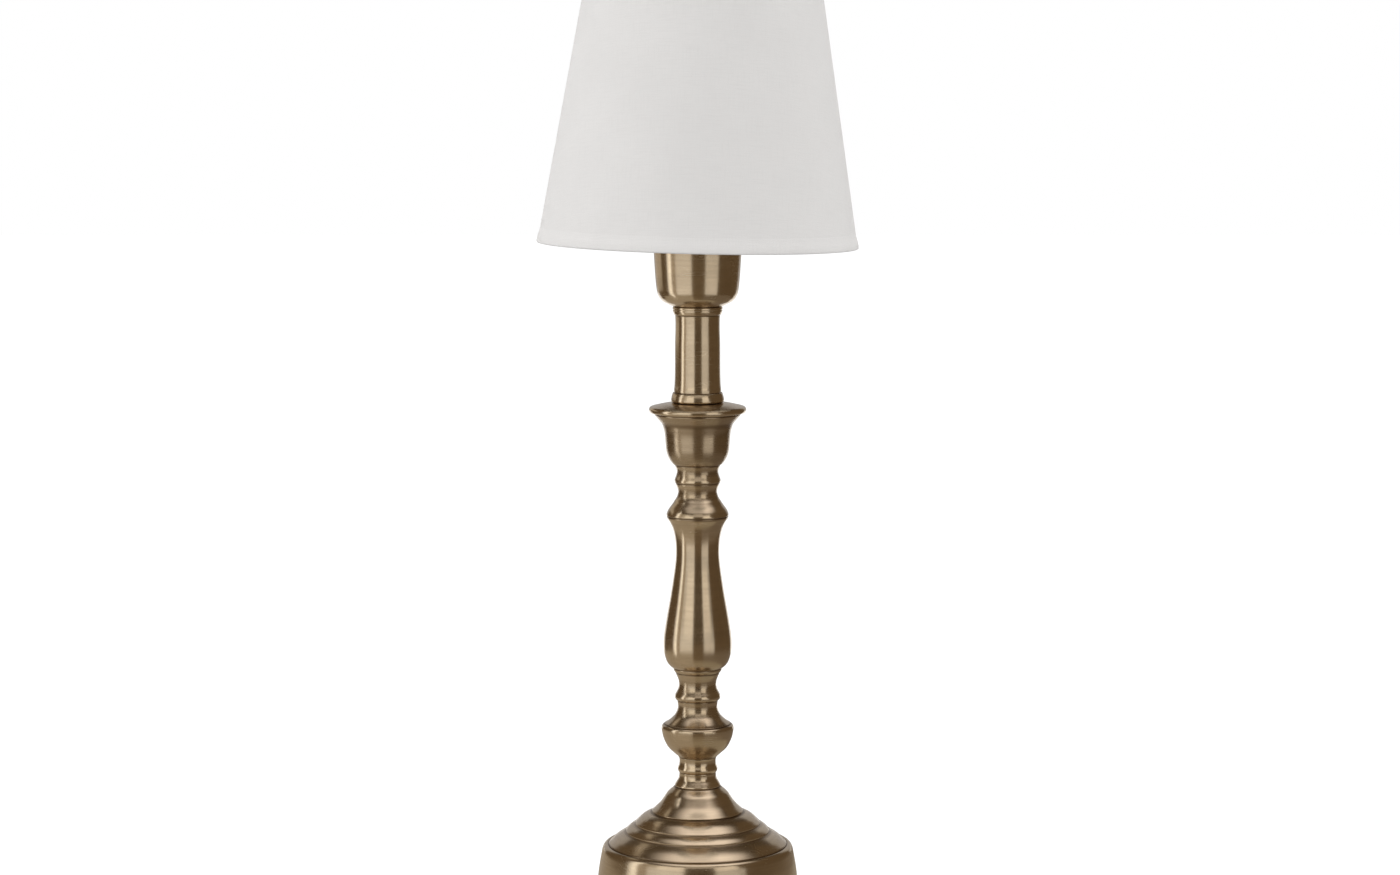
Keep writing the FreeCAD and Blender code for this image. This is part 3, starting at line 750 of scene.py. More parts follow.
def apply(piece: Piece, kind: str, name: str, **settings: object) -> None:
    """Adds a modifier and applies it.

    Args:
        piece: The piece.
        kind: The modifier's type.
        name: Its name.
        settings: Its properties.
    """
    pick(piece)
    modifier = piece.modifiers.new(name, kind)
    for key, value in settings.items():
        setattr(modifier, key, value)
    bpy.ops.object.modifier_apply(modifier=modifier.name)


def smooth(piece: Piece, angle: float = 42.0) -> None:
    """Shades a piece smooth, apart from edges over an angle."""
    pick(piece)
    bpy.ops.object.shade_smooth_by_angle(angle=math.radians(angle))


def mark_hollows(piece: Piece, outline: Sequence[Point], seams: Sequence[Point], painted_light_shift: float = 0.0) -> None:
    """Stores how hollow each place of a turned piece is, from -1 on an edge to 1 in a groove.

    Args:
        piece: The piece.
        outline: Its outer outline, from the bottom up.
        seams: Points where it meets a neighbour, which count as grooves.
        painted_light_shift: What is added everywhere: above 0 painted shade over the whole piece, below 0 a
            painted highlight over the whole piece.
    """
    bend_reach, seam_reach, full_bend, batch = 0.0013, 0.0007, 0.75, 4000
    line = np.array(outline, float)
    steps = np.diff(line, axis=0)
    heading = np.unwrap(np.arctan2(steps[:, 1], steps[:, 0]))
    bends = np.concatenate([[0.0], np.diff(heading), [0.0]])
    along = np.concatenate([[0.0], np.cumsum(np.linalg.norm(steps, axis=1))])
    near = np.exp(-(((along[:, None] - along[None, :]) / bend_reach) ** 2))
    hollow = np.clip(-(near @ bends) / full_bend, -1.0, 1.0)
    for seam in seams:
        hollow = np.maximum(hollow, np.exp(-((np.linalg.norm(line - seam, axis=1) / seam_reach) ** 2)))
    # The per-piece shift paints shade over the whole piece above 0, and a highlight over it below 0.
    hollow = np.clip(hollow + painted_light_shift, -1.0, 1.0)
    spots = np.empty(len(piece.data.vertices) * 3, np.float32)
    piece.data.vertices.foreach_get("co", spots)
    spots = spots.reshape(-1, 3)
    flat = np.column_stack([np.hypot(spots[:, 0], spots[:, 1]), spots[:, 2]])
    nearest = np.concatenate([np.argmin(np.linalg.norm(part[:, None] - line[None], axis=2), axis=1)
                              for part in np.array_split(flat, max(len(flat) // batch, 1))])
    values = piece.data.attributes.new(HOLLOW, "FLOAT", "POINT")
    values.data.foreach_set("value", hollow[nearest].astype(np.float32))


def place_of(node: str) -> tuple[float, float]:
    """Returns the lowest and highest Z of a solid."""
    low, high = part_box(node)
    return low.z, high.z


def finish_piece(piece: Piece, finish: Finish, body: Body, slot: str, *nodes: str) -> None:
    """Gives a piece its finish, its body and the solids that it stands for.

    Args:
        piece: The piece.
        finish: Its finish.
        body: The body that it rides on.
        slot: The name of the slot for its finish; not used.
        nodes: The solids that it replaces.
    """
    piece.data.materials.clear()
    piece.data.materials.append(finish.material())
    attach(piece, body.value)
    if nodes:
        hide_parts(*nodes)
    LOG.info("%s: %d faces, rides on %s", piece.name, len(piece.data.polygons), body.value)


def turn_brass(node: str, body: Sequence[Point], outer: Sequence[Point], seams: Sequence[Point], sides: int,
               painted_light_shift: float = 0.0) -> Piece:
    """Turns a brass piece with rounded edges and marks its hollows.

    Args:
        node: The solid that it stands for.
        body: Its closed section.
        outer: The outline of its outer face, from the bottom up.
        seams: Points where it meets a neighbour.
        sides: How many sides it has.
        painted_light_shift: Painted shade over the whole piece; below 0, a painted highlight over the whole
            piece.

    Returns:
        The piece.
    """
    piece = turn(f"brass_{node}", body, sides)
    apply(piece, "BEVEL", "rounded edges", width=BRASS_EDGE, segments=2, limit_method="ANGLE",
          angle_limit=math.radians(33.0), miter_outer="MITER_ARC")
    mark_hollows(piece, outer, seams, painted_light_shift)
    return piece


def finish_brass(piece: Piece, node: str) -> None:
    """Smooths a brass piece of the lamp and gives it its finish."""
    smooth(piece)
    finish_piece(piece, BRASS, Body.LAMP, "antique_brass", node)


# Sub-assemblies


@dataclass(frozen=True)
class Turning:
    """A turned brass piece of the column.

    Attributes:
        node: The solid that it stands for.
        radius: Its largest radius.
        runs: Its outline from the bottom up, as runs of (share of height, share of radius).
        painted_light_shift: Painted shade over the whole piece; below 0, a painted highlight over the whole
            piece.
    """

    node: str
    radius: float
    runs: tuple[tuple[Point, ...], ...]
    painted_light_shift: float = 0.0

    def outline(self) -> list[Point]:
        """Returns its outer outline at its real place, with the runs joined."""
        line: list[Point] = []
        for run in self.runs:
            placed = fair(scaled(run, self.radius, *place_of(self.node)))
            line += placed[1:] if line else placed
        return line


@dataclass
class Column:
    """The turned pieces between the base and the lampholder.

    Attributes:
        sides: How many sides each round has.
        turnings: The pieces from the bottom up.
    """

    sides: int = 112
    turnings: tuple[Turning, ...] = (
        # A shift below 0 brightens the foot collar and the bead all over: a painted highlight.
        Turning("foot_collar", 0.0143, (
            ((0.0, 0.97), (0.03, 1.0)),
            ((0.03, 1.0), (0.13, 1.0)),
            ((0.13, 1.0), (0.21, 0.972), (0.36, 0.916), (0.5, 0.86), (0.67, 0.818), (0.83, 0.804),
             (1.0, 0.808))), painted_light_shift=-0.6),
        Turning("column_bead", 0.0125, (
            ((0.0, 0.925), (0.12, 0.98), (0.24, 1.0), (0.35, 0.981), (0.485, 0.941), (0.63, 0.914),
             (0.77, 0.91), (0.92, 0.925), (1.0, 0.945)),), painted_light_shift=-0.6),
        Turning("lower_knop", 0.02265, (
            ((0.0, 0.525), (0.04, 0.55), (0.104, 0.618), (0.175, 0.693), (0.288, 0.804), (0.396, 0.87),
             (0.514, 0.923), (0.632, 0.9625), (0.745, 0.985), (0.863, 1.0), (0.925, 0.996), (0.972, 0.971),
             (1.0, 0.925)),)),
        Turning("knop_cap", 0.0208, (
            ((0.0, 0.99), (0.03, 1.0)),
            ((0.03, 1.0), (0.08, 0.928), (0.166, 0.846), (0.27, 0.76), (0.364, 0.697), (0.464, 0.654),
             (0.55, 0.625), (0.642, 0.606), (0.728, 0.593), (0.82, 0.593), (0.907, 0.604), (1.0, 0.612)))),
        Turning("lower_ring", 0.0143, (
            ((0.0, 0.915), (0.073, 0.985), (0.13, 1.0), (0.192, 0.99), (0.266, 0.948), (0.339, 0.897),
             (0.412, 0.859), (0.49, 0.834), (0.565, 0.82), (0.638, 0.822), (0.712, 0.832), (0.79, 0.864),
             (0.864, 0.898), (0.943, 0.944), (1.0, 0.965)),)),
        Turning("baluster", 0.02143, (
            ((0.0, 0.65), (0.015, 0.698), (0.024, 0.709)),
            ((0.024, 0.709), (0.027, 0.7)),
            ((0.027, 0.7), (0.043, 0.805), (0.066, 0.889), (0.092, 0.94), (0.116, 0.972), (0.141, 0.992),
             (0.176, 1.0), (0.23, 0.99), (0.293, 0.951), (0.383, 0.882), (0.485, 0.7975), (0.588, 0.7225),
             (0.677, 0.665), (0.741, 0.638), (0.793, 0.635), (0.856, 0.658), (0.907, 0.7065), (0.947, 0.774),
             (0.972, 0.841), (0.985, 0.885)),
            ((0.985, 0.885), (1.0, 0.9)))),
        Turning("upper_bell", 0.01945, (
            ((0.0, 0.985), (0.03, 1.0), (0.06, 0.997), (0.11, 0.98), (0.166, 0.955), (0.222, 0.918),
             (0.28, 0.874), (0.342, 0.823), (0.404, 0.778), (0.467, 0.737), (0.529, 0.691), (0.59, 0.6576),
             (0.652, 0.6396), (0.714, 0.625), (0.776, 0.631), (0.838, 0.649), (0.9, 0.676), (0.957, 0.7),
             (1.0, 0.706)),)),
        Turning("upper_ring", 0.0144, (
            ((0.0, 0.975), (0.1, 1.0), (0.18, 0.993), (0.26, 0.972), (0.357, 0.943), (0.473, 0.914),
             (0.589, 0.899), (0.705, 0.908), (0.82, 0.935), (0.94, 0.972), (1.0, 0.98)),)),
        # The candle cup is darkened all over: painted shade of the drip pan above it.
        Turning("candle_cup", 0.0268, (
            ((0.0, 0.54), (0.0185, 0.571), (0.059, 0.614), (0.096, 0.646), (0.133, 0.67), (0.173, 0.6925),
             (0.21, 0.708), (0.284, 0.7306), (0.4, 0.744), (0.5185, 0.756), (0.636, 0.7705), (0.713, 0.794),
             (0.79, 0.822), (0.86, 0.889), (0.932, 0.965), (0.97, 1.0)),
            ((0.97, 1.0), (1.0, 0.995))), painted_light_shift=0.45),
        Turning("drip_pan", 0.0302, (
            ((0.0, 0.905), (0.02, 0.93)),
            ((0.02, 0.93), (0.09, 0.982), (0.22, 1.0), (0.44, 1.0), (0.56, 0.983), (0.63, 0.944)),
            ((0.63, 0.944), (0.84, 0.735), (1.0, 0.5)))),
        Turning("tube_seat_ring", 0.0165, (
            ((0.0, 0.922), (0.08, 0.985)),
            ((0.08, 0.985), (0.16, 1.0), (0.4, 0.994), (0.65, 0.975), (0.9, 0.945)),
            ((0.9, 0.945), (0.96, 0.93), (1.0, 0.9)))),
        # A shift below 0 brightens the candle tube all over: a painted highlight.
        Turning("candle_tube", 0.01495, (
            ((0.0, 0.985), (0.027, 0.985), (0.079, 0.967), (0.158, 0.955), (0.262, 0.947), (0.4, 0.943),
             (0.547, 0.942), (0.678, 0.936), (0.807, 0.924), (0.91, 0.923), (0.9626, 0.928),
             (1.0, 0.934)),), painted_light_shift=-0.4),
        Turning("tube_top_collar", 0.0155, (
            ((0.0, 0.915), (0.125, 0.95), (0.34, 0.978), (0.55, 0.993), (0.62, 0.985)),
            ((0.62, 0.985), (0.7, 1.0)),
            ((0.7, 1.0), (0.84, 1.0), (0.94, 0.982), (1.0, 0.95)))),
    )

    def build(self) -> None:
        """Turns each piece over its solid."""
        for turning in self.turnings:
            outer = turning.outline()
            low, high = outer[0], outer[-1]
            loop = outer + [(ROD_BORE, high[1]), (ROD_BORE, low[1]), low]
            piece = turn_brass(turning.node, loop, outer, [low, high], self.sides, turning.painted_light_shift)
            finish_brass(piece, turning.node)


@dataclass
class Base:
    """The stepped base with its felt.

    Attributes:
        height: Height of the seat of the column.
        radius: Largest radius of the drum.
        wall: Thickness of the shell.
        drum_top: Height of the drum's upper edge.
        belly: Height of the drum's widest place.
        foot_gap: Height of the shell's lowest edge.
        foot_height: Height of the groove over the rolled foot.
        foot_neck: Radius of that groove.
        roll: Radius of the rolled foot.
        roll_inset: How far the roll's centre lies inside the groove.
        roll_turn: Angle of the roll above and below its middle.
        outlet_height: Height of the cable's hole.
        outlet_radius: Its radius.
        outlet_depth: How far the drill reaches through the back wall.
        felt_edge: Radius of the felt's soft edge.
        bell: Outline of the bell, as (share of height, share of radius).
        bell_lip: Outline of its lower edge.
        rings: Outlines of the three steps.
        drum: Outline of the drum's shoulder, as (share of the drum's height above its top, share of radius).
        skirt: Outline between the belly and the groove, as (distance inside the radius, height).
    """

    height: float = 0.0763
    radius: float = 0.063
    wall: float = 0.0018
    drum_top: float = 0.0392945
    belly: float = 0.0170149
    foot_gap: float = 0.0005
    foot_height: float = 0.007
    foot_neck: float = 0.0623
    roll: float = 0.0038
    roll_inset: float = 0.0022
    roll_turn: float = 58.0
    outlet_height: float = 0.0165
    outlet_radius: float = 0.0053
    outlet_depth: float = 0.03
    felt_edge: float = 0.0005
    sides: int = 160
    bell: tuple[Point, ...] = (
        (1.0, 0.232), (0.987, 0.249), (0.967, 0.278), (0.946, 0.304), (0.92, 0.325), (0.895, 0.345),
        (0.868, 0.368), (0.845, 0.393), (0.822, 0.422), (0.805, 0.444), (0.797, 0.454))
    bell_lip: tuple[Point, ...] = ((0.797, 0.454), (0.791, 0.453), (0.788, 0.445))
    rings: tuple[tuple[Point, ...], ...] = (
        ((0.788, 0.445), (0.756, 0.544), (0.697, 0.623)),
        ((0.687, 0.621), (0.662, 0.679), (0.632, 0.717)),
        ((0.622, 0.714), (0.577, 0.813), (0.523, 0.891)))
    drum: tuple[Point, ...] = (
        (0.0, 0.889), (0.006, 0.913), (-0.027, 0.941), (-0.062, 0.951), (-0.15, 0.963), (-0.33, 0.983),
        (-0.5, 0.997))
    skirt: tuple[Point, ...] = ((0.0001, 0.0125), (0.0005, 0.009))

    def outer(self) -> list[Point]:
        """Returns the outline from the seat down to the belly."""
        line = fair(scaled(self.bell, self.radius, 0.0, self.height))
        line += scaled(self.bell_lip, self.radius, 0.0, self.height)[1:]
        for ring in self.rings:
            bowed = fair(scaled(ring, self.radius, 0.0, self.height), most=12)
            line += bowed[1:] if math.dist(bowed[0], line[-1]) < SAME else bowed
        drum = scaled(self.drum, self.radius, self.drum_top, 2 * self.drum_top)
        return line + fair(drum + [(self.radius, self.belly)])

    def build(self) -> None:
        """Turns the shell with its rolled foot, cuts the cable's hole and lays the felt."""
        down = self.outer()
        middle = (self.foot_height + self.foot_gap) / 2
        roll = arc((self.foot_neck - self.roll_inset, middle), self.roll, self.roll_turn, -self.roll_turn, 12)
        skirt = [(self.radius - inset, height) for inset, height in self.skirt]
        below = fair([(self.radius, self.belly), *skirt, (self.foot_neck, self.foot_height)])
        outer = down + below[1:] + roll + [(self.foot_neck, self.foot_gap)]
        lining = [(r - self.wall, z - self.wall) for r, z in down[::3]]
        inner = [(self.radius - self.wall, self.foot_gap), (self.radius - self.wall, self.belly - self.wall)]
        seat = outer[0]
        loop = outer + inner + lining[::-1] + [(ROD_BORE, lining[0][1]), (ROD_BORE, seat[1]), seat]
        shell = turn_brass("base_shell", loop, outer[::-1], [seat], self.sides)
        self.cut_outlet(shell)
        finish_brass(shell, "base_shell")
        self.build_felt()

    def cut_outlet(self, shell: Piece) -> None:
        """Cuts the hole for the cable's bush through the back wall.

        Args:
            shell: The base shell.
        """
        release()
        bpy.ops.mesh.primitive_cylinder_add(vertices=64, radius=self.outlet_radius, depth=self.outlet_depth,
                                            location=(0, self.radius, self.outlet_height),
                                            rotation=(math.pi / 2, 0, 0))
        drill = bpy.context.object
        apply(shell, "BOOLEAN", "outlet hole", object=drill, operation="DIFFERENCE", solver="EXACT")
        bpy.data.objects.remove(drill)

    def build_felt(self) -> None:
        """Cuts the felt disc with its soft edge."""
        low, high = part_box("base_felt")
        radius = (high.x - low.x) / 2
        soft = self.felt_edge
        side = [spot for height, start in ((low.z + soft, -90.0), (high.z - soft, 0.0))
                for spot in arc((radius - soft, height), soft, start, start + 90.0, 4)]
        spread = [(radius * share / 6, low.z) for share in range(1, 6)]
        top = [(r, high.z) for r, _ in spread[::-1]]
        felt = turn("felt_pad", [(AXIS, low.z), *spread, *side, *top, (AXIS, high.z)], 96)
        smooth(felt)
        finish_piece(felt, FELT, Body.LAMP, "felt", "base_felt")


@dataclass
class Lampholder:
    """The brass cup round the lampholder.

    Attributes:
        radius: Radius at the cup's rim.
        wall: Thickness of the cup.
        side: Outline of the cup, as (share of height, share of radius).
    """

    radius: float = 0.0273
    wall: float = 0.0012
    sides: int = 128
    side: tuple[Point, ...] = (
        (0.0, 0.53), (0.012, 0.605), (0.0417, 0.681), (0.075, 0.769), (0.108, 0.822), (0.142, 0.862),
        (0.175, 0.886), (0.208, 0.907), (0.244, 0.921), (0.311, 0.936), (0.4167, 0.952), (0.553, 0.967),
        (0.69, 0.979), (0.83, 0.99), (1.0, 1.0))

    def build(self) -> None:
        """Turns the cup, open at the top, with a rounded rim."""
        low, high = place_of("lampholder_cup")
        outer = fair(scaled(self.side, self.radius, low, high))
        inner = [(r - self.wall, max(z, low + self.wall)) for r, z in outer if z > low + 0.6 * self.wall]
        floor = [(ROD_BORE, inner[0][1]), (ROD_BORE, low), outer[0]]
        cup = turn_brass("lampholder_cup", outer + inner[::-1] + floor, outer, [outer[0]], self.sides)
        finish_brass(cup, "lampholder_cup")


@dataclass
class Bulb:
    """The candle bulb's glass.

    Attributes:
        radius: Largest radius of the glass.
        neck: Radius of the glass in the cap.
        neck_depth: How far the glass goes into the cap.
        shares: Flank of the glass as (share of height, share of radius).
    """

    radius: float = 0.0175
    neck: float = 0.0117
    neck_depth: float = 0.004
    sides: int = 96
    shares: tuple[Point, ...] = (
        (0.0, 0.6686), (0.13, 0.81), (0.26, 0.95), (0.37, 1.0), (0.5, 0.95), (0.64, 0.79), (0.78, 0.54),
        (0.9, 0.28), (0.975, 0.1), (0.995, 0.03))

    def build(self) -> None:
        """Blows the glass: a closed candle shape with its neck in the cap."""
        low, top = place_of("bulb_glass")
        flank = fair(scaled(self.shares, self.radius, low + self.neck_depth, top))
        outline = [(AXIS, low), (self.neck * 0.6, low), (self.neck, low), *flank, (AXIS, top)]
        glass = turn("opal_bulb", outline, self.sides)
        smooth(glass, 60.0)
        finish_piece(glass, OPAL, Body.BULB, "opal_glass", "bulb_glass")


@dataclass
class Shade:
    """The tapered linen shade, which leans towards +X.

    Attributes:
        lower: Radius of the linen at the lower edge.
        upper: Radius of the linen at the upper edge.
        height: Height of the shade.
        lean: Its lean.
        rise: Height of the lower edge's centre above the table.
        cloth: Thickness of the linen.
        trim: How far the cover ends before the shade's edge.
        overlap: Half the angle of the seam at the back.
        lap: How far the seam stands out.
        hem: Height of a hem.
        proud: How far a hem stands out.
        roll: Radius of the roll round the wire.
        crease: Radius of the crease at the very edge.
        fold: How far the linen is turned up inside.
        slack: How far the linen lies off the liner.
        swell: How a hem stands out, as (share of its height downwards, share of proud).
        inside: Its inner outline, as (distance past the roll, distance past the hem's height).
        tip: Its end on the liner, as (distance inwards, distance past the fold).
    """

    lower: float = 0.0992
    upper: float = 0.0705
    height: float = 0.175
    lean: float = 1.3
    rise: float = 0.41728
    cloth: float = 0.0005
    trim: float = 0.002
    overlap: float = 3.0
    lap: float = 0.0004
    hem: float = 0.006
    proud: float = 0.0008
    roll: float = 0.00282
    crease: float = 0.0011
    fold: float = 0.0096
    slack: float = 0.00006
    sides: int = 192
    rows: int = 28
    swell: tuple[Point, ...] = (
        (-0.15, -0.25), (0.0, 0.0), (0.2, 0.1), (0.45, 0.35), (0.7, 0.65), (0.95, 0.88), (1.15, 1.0))
    inside: tuple[Point, ...] = ((0.0, -0.0006), (-0.0006, 0.0003))
    tip: tuple[Point, ...] = ((0.0013, 0.0), (0.0009, 0.0008))

    @property
    def taper(self) -> float:
        """How much wider the lower edge is than the upper one."""
        return self.lower - self.upper

    @property
    def slant(self) -> float:
        """The length of the linen from edge to edge."""
        return math.hypot(self.height, self.taper)

    def at(self, inset: float, height: float, end: Part = Part.LOWER) -> Point:
        """Finds a point of the shade's section.

        Args:
            inset: Distance inwards from the linen's outer face.
            height: Height from the end of the shade.
            end: The end that the height counts from.

        Returns:
            The point as (radius, height above the lower edge).
        """
        level = height if end is Part.LOWER else self.height - height
        return self.lower - self.taper * level / self.height - inset, level

    def build(self) -> None:
        """Sews the cover and the two hems, and leans them."""
        cover = self.build_cover()
        hems = [self.build_hem(end) for end in Part]
        for piece in [cover, *hems]:
            self.lay_out(piece)
            self.loosen(piece)
            self.set_leaning(piece)
            smooth(piece, 50.0)
        finish_piece(cover, LINEN, Body.SHADE, "linen", "shade_fabric")
        for piece in hems:
            finish_piece(piece, LINEN, Body.SHADE, "linen")

    def build_cover(self) -> Piece:
        """Wraps the linen round the liner, with an overlapped seam at the back."""
        levels = [self.trim + (self.height - 2 * self.trim) * i / self.rows for i in range(self.rows + 1)]
        outer = [self.at(0.0, level) for level in levels]
        inner = [self.at(self.cloth, level) for level in reversed(levels)]
        cover = turn("linen_cover", outer + inner + outer[:1], self.sides)
        edit("FACE", "DESELECT")
        leave()
        seam = math.radians(self.overlap)
        for face in cover.data.polygons:
            outward = face.normal.x * face.center.x + face.normal.y * face.center.y > 0
            face.select = outward and abs(math.atan2(face.center.x, face.center.y)) < seam
        bpy.ops.object.mode_set(mode="EDIT")
        bpy.ops.mesh.extrude_region_shrink_fatten(TRANSFORM_OT_shrink_fatten={"value": self.lap})
        leave()
        return cover

    def build_hem(self, end: Part) -> Piece:
        """Rolls one hem round its ring of wire.

        Args:
            end: The end of the shade.

        Returns:
            The hem.
        """
        middle = self.roll - self.proud
        swell = [(-self.proud * share, self.fold - self.hem * down) for down, share in self.swell]
        crease = arc((self.crease - self.proud, self.crease), self.crease, 180.0, 270.0, 6)
        rolled = arc((middle, self.roll), self.roll, 270.0, 360.0, 9)
        inside = [(middle + self.roll + inwards, self.hem + up) for inwards, up in self.inside]
        tip = [(inset, self.fold + up) for inset, up in self.tip]
        loop = swell + crease + rolled + inside + tip + swell[:1]
        section = [self.at(inset, height, end) for inset, height in loop]
        return turn(f"linen_{end.value}_hem", section, self.sides)

    def lay_out(self, piece: Piece) -> None:
        """Maps the cloth as it lay flat when it was cut, in metres.

        Args:
            piece: The cover or a hem, upright on the Z axis.
        """
        apex = self.lower * self.height / self.taper
        flat = piece.data.uv_layers.new(name=CLOTH)
        for loop in piece.data.loops:
            spot = piece.data.vertices[loop.vertex_index].co
            turned = math.atan2(spot.x, -spot.y) * self.taper / self.slant
            reach = math.hypot(math.hypot(spot.x, spot.y), apex - spot.z)
            flat.data[loop.index].uv = (reach * math.sin(turned), reach * math.cos(turned))

    def loosen(self, piece: Piece) -> None:
        """Lifts the cloth a little off the liner in shallow waves, as glued linen lies.

        Args:
            piece: The cover or a hem.
        """
        for vertex in piece.data.vertices:
            angle = math.atan2(vertex.co.y, vertex.co.x)
            wave = math.sin(5 * angle + 0.7) * 0.5 + math.sin(13 * angle + 30 * vertex.co.z) * 0.3
            share = 1 + self.slack * (1 + wave) / math.hypot(vertex.co.x, vertex.co.y)
            vertex.co.x *= share
            vertex.co.y *= share

    def set_leaning(self, piece: Piece) -> None:
        """Sets a piece on the lampholder with the shade's lean.

        Args:
            piece: The cover or a hem, upright with its lower end at zero.
        """
        pick(piece)
        piece.location = (0, 0, self.rise)
        piece.rotation_euler = (0, math.radians(self.lean), 0)
        bpy.ops.object.transform_apply(location=True, rotation=True, scale=True)


@dataclass
class Fittings:
    """Solids that keep their shape, with the finish of each."""

    finishes: dict[str, Finish] = field(default_factory=lambda: {
        "bottom_plate": ZINC, "base_weight": IRON, "base_washer": ZINC, "base_nut": ZINC,
        "outlet_bush": BLACK, "threaded_rod": ZINC, "cup_washer": ZINC, "cup_nut": ZINC,
        "lampholder_cap": BLACK, "lampholder_body": BLACK, "lampholder_insert": CERAMIC,
        "screw_shell": SHEET_BRASS, "terminal_screws": SHEET_BRASS, "contact_post": SHEET_BRASS,
        "contact_leaf": SHEET_BRASS, "bulb_tip": ZINC, "bulb_insulator": BLACK_GLASS, "bulb_cap": CAP_METAL,
        "clamp_ring": RING, "shade_spider": ENAMEL, "bottom_ring_wire": ENAMEL, "top_ring_wire": ENAMEL,
        "shade_liner": LINER})

    def dress(self, nodes: dict[str, Piece]) -> None:
        """Puts each finish into its solid's slots.

        Args:
            nodes: The solids by name.
        """
        for name, finish in self.finishes.items():
            for slot in nodes[name].material_slots:
                slot.material = finish.material()
            LOG.info("%s: solid with %s", name, finish.title)


# Studio


@dataclass(frozen=True)
class Card:
    """A card that only shows in reflections: a dark one makes a dark band in metal, a pale one a bright band.

    Attributes:
        title: Its name.
        span: Its first and last angle round the lamp, from the camera's side, to the right.
        section: Its section as (distance, height).
        glow: Its brightness.
        stride: About the angle of each flat part.
    """

    title: str
    span: Point
    section: tuple[Point, ...]
    glow: Colour
    stride: float = 4.0

    def build(self) -> None:
        """Bends the card round the lamp."""
        card = plane(self.title)
        edit()
        bpy.ops.mesh.merge(type="CENTER")
        aims = [self.aim(point) for point in self.section]
        bpy.ops.transform.translate(value=aims[0])
        for last, aim in zip(aims, aims[1:]):
            bpy.ops.mesh.extrude_region_move(TRANSFORM_OT_translate={"value": aim - last})
        bpy.ops.mesh.select_all(action="SELECT")
        turned = self.span[1] - self.span[0]
        steps = max(int(abs(turned) / self.stride), 1)
        bpy.ops.mesh.spin(steps=steps, angle=math.radians(turned), center=(0, 0, 0), axis=(0, 0, -1))
        leave()
        show_in_reflections(card, self.glow)

    def aim(self, point: Point) -> Vector:
        """Returns the place of a section's point at the first angle."""
        first = math.radians(self.span[0] - 90.0)
        return Vector((math.cos(first) * point[0], math.sin(first) * point[0], point[1]))


@dataclass(frozen=True)
class Panel:
    """A flat panel overhead that only shows in reflections and fades towards its sides.

    Attributes:
        title: Its name.
        middle: Its centre.
        size: Its width and depth.
        glow: Its brightness.
        rim: Its brightness at its sides.
    """

    title: str
    middle: tuple[float, float, float]
    size: Point
    glow: Colour
    rim: Colour

    def build(self) -> None:
        """Hangs the panel."""
        panel = plane(self.title, location=self.middle)
        panel.scale = (*self.size, 1.0)
        bpy.ops.object.transform_apply(location=True, rotation=True, scale=True)
        show_in_reflections(panel, self.glow, self.rim)


def show_in_reflections(card: Piece, glow: Colour, rim: Colour | None = None) -> None:
    """Makes a card glow in reflections alone.

    Args:
        card: The card.
        glow: Its brightness.
        rim: Its brightness at its sides, if it fades.
    """
    made = bpy.data.materials.new(card.name)
    made.use_nodes = True
    made.node_tree.nodes.clear()
    net = Wiring(made.node_tree)
    colour: Feed = (*glow, 1.0)
    if rim:
        sides = net.split(net.node("ShaderNodeUVMap").outputs[0])
        shares = [net.spread(net.maths("PINGPONG", sides[i], 0.5), 0.0, 0.3) for i in range(2)]
        colour = net.blend(net.times(*shares), (*rim, 1.0), (*glow, 1.0))
    even = net.node("ShaderNodeEmission", {"Color": colour, "Strength": 1.0})
    net.node("ShaderNodeOutputMaterial", {"Surface": even.outputs[0]})
    card.data.materials.append(made)
    card.visible_camera = card.visible_diffuse = card.visible_shadow = card.visible_transmission = False


@dataclass(frozen=True)
class SoftLight:
    """A soft area light that faces the lamp's middle.

    Attributes:
        title: Its name.
        angle: Its angle round the lamp, from the camera's side, to the right.
        rise: Its angle above the horizon.
        power: Its power in watts.
        size: Its width.
        distance: Its distance from the lamp's middle.
        middle: Height of the lamp's middle.
    """

    title: str
    angle: float
    rise: float
    power: float
    size: float
    distance: float = 2.3
    middle: float = 0.35

    def build(self) -> None:
        """Hangs the light and aims it at the lamp's middle."""
        lamp = bpy.data.lights.new(self.title, "AREA")
        lamp.energy = self.power
        lamp.size = self.size
        holder = bpy.data.objects.new(self.title, lamp)
        bpy.context.scene.collection.objects.link(holder)
        around, up = math.radians(self.angle - 90.0), math.radians(self.rise)
        way = Vector((math.cos(around) * math.cos(up), math.sin(around) * math.cos(up), math.sin(up)))
        holder.location = Vector((0, 0, self.middle)) + way * self.distance
        holder.rotation_euler = way.to_track_quat("Z", "Y").to_euler()
        holder.visible_camera = holder.visible_glossy = False


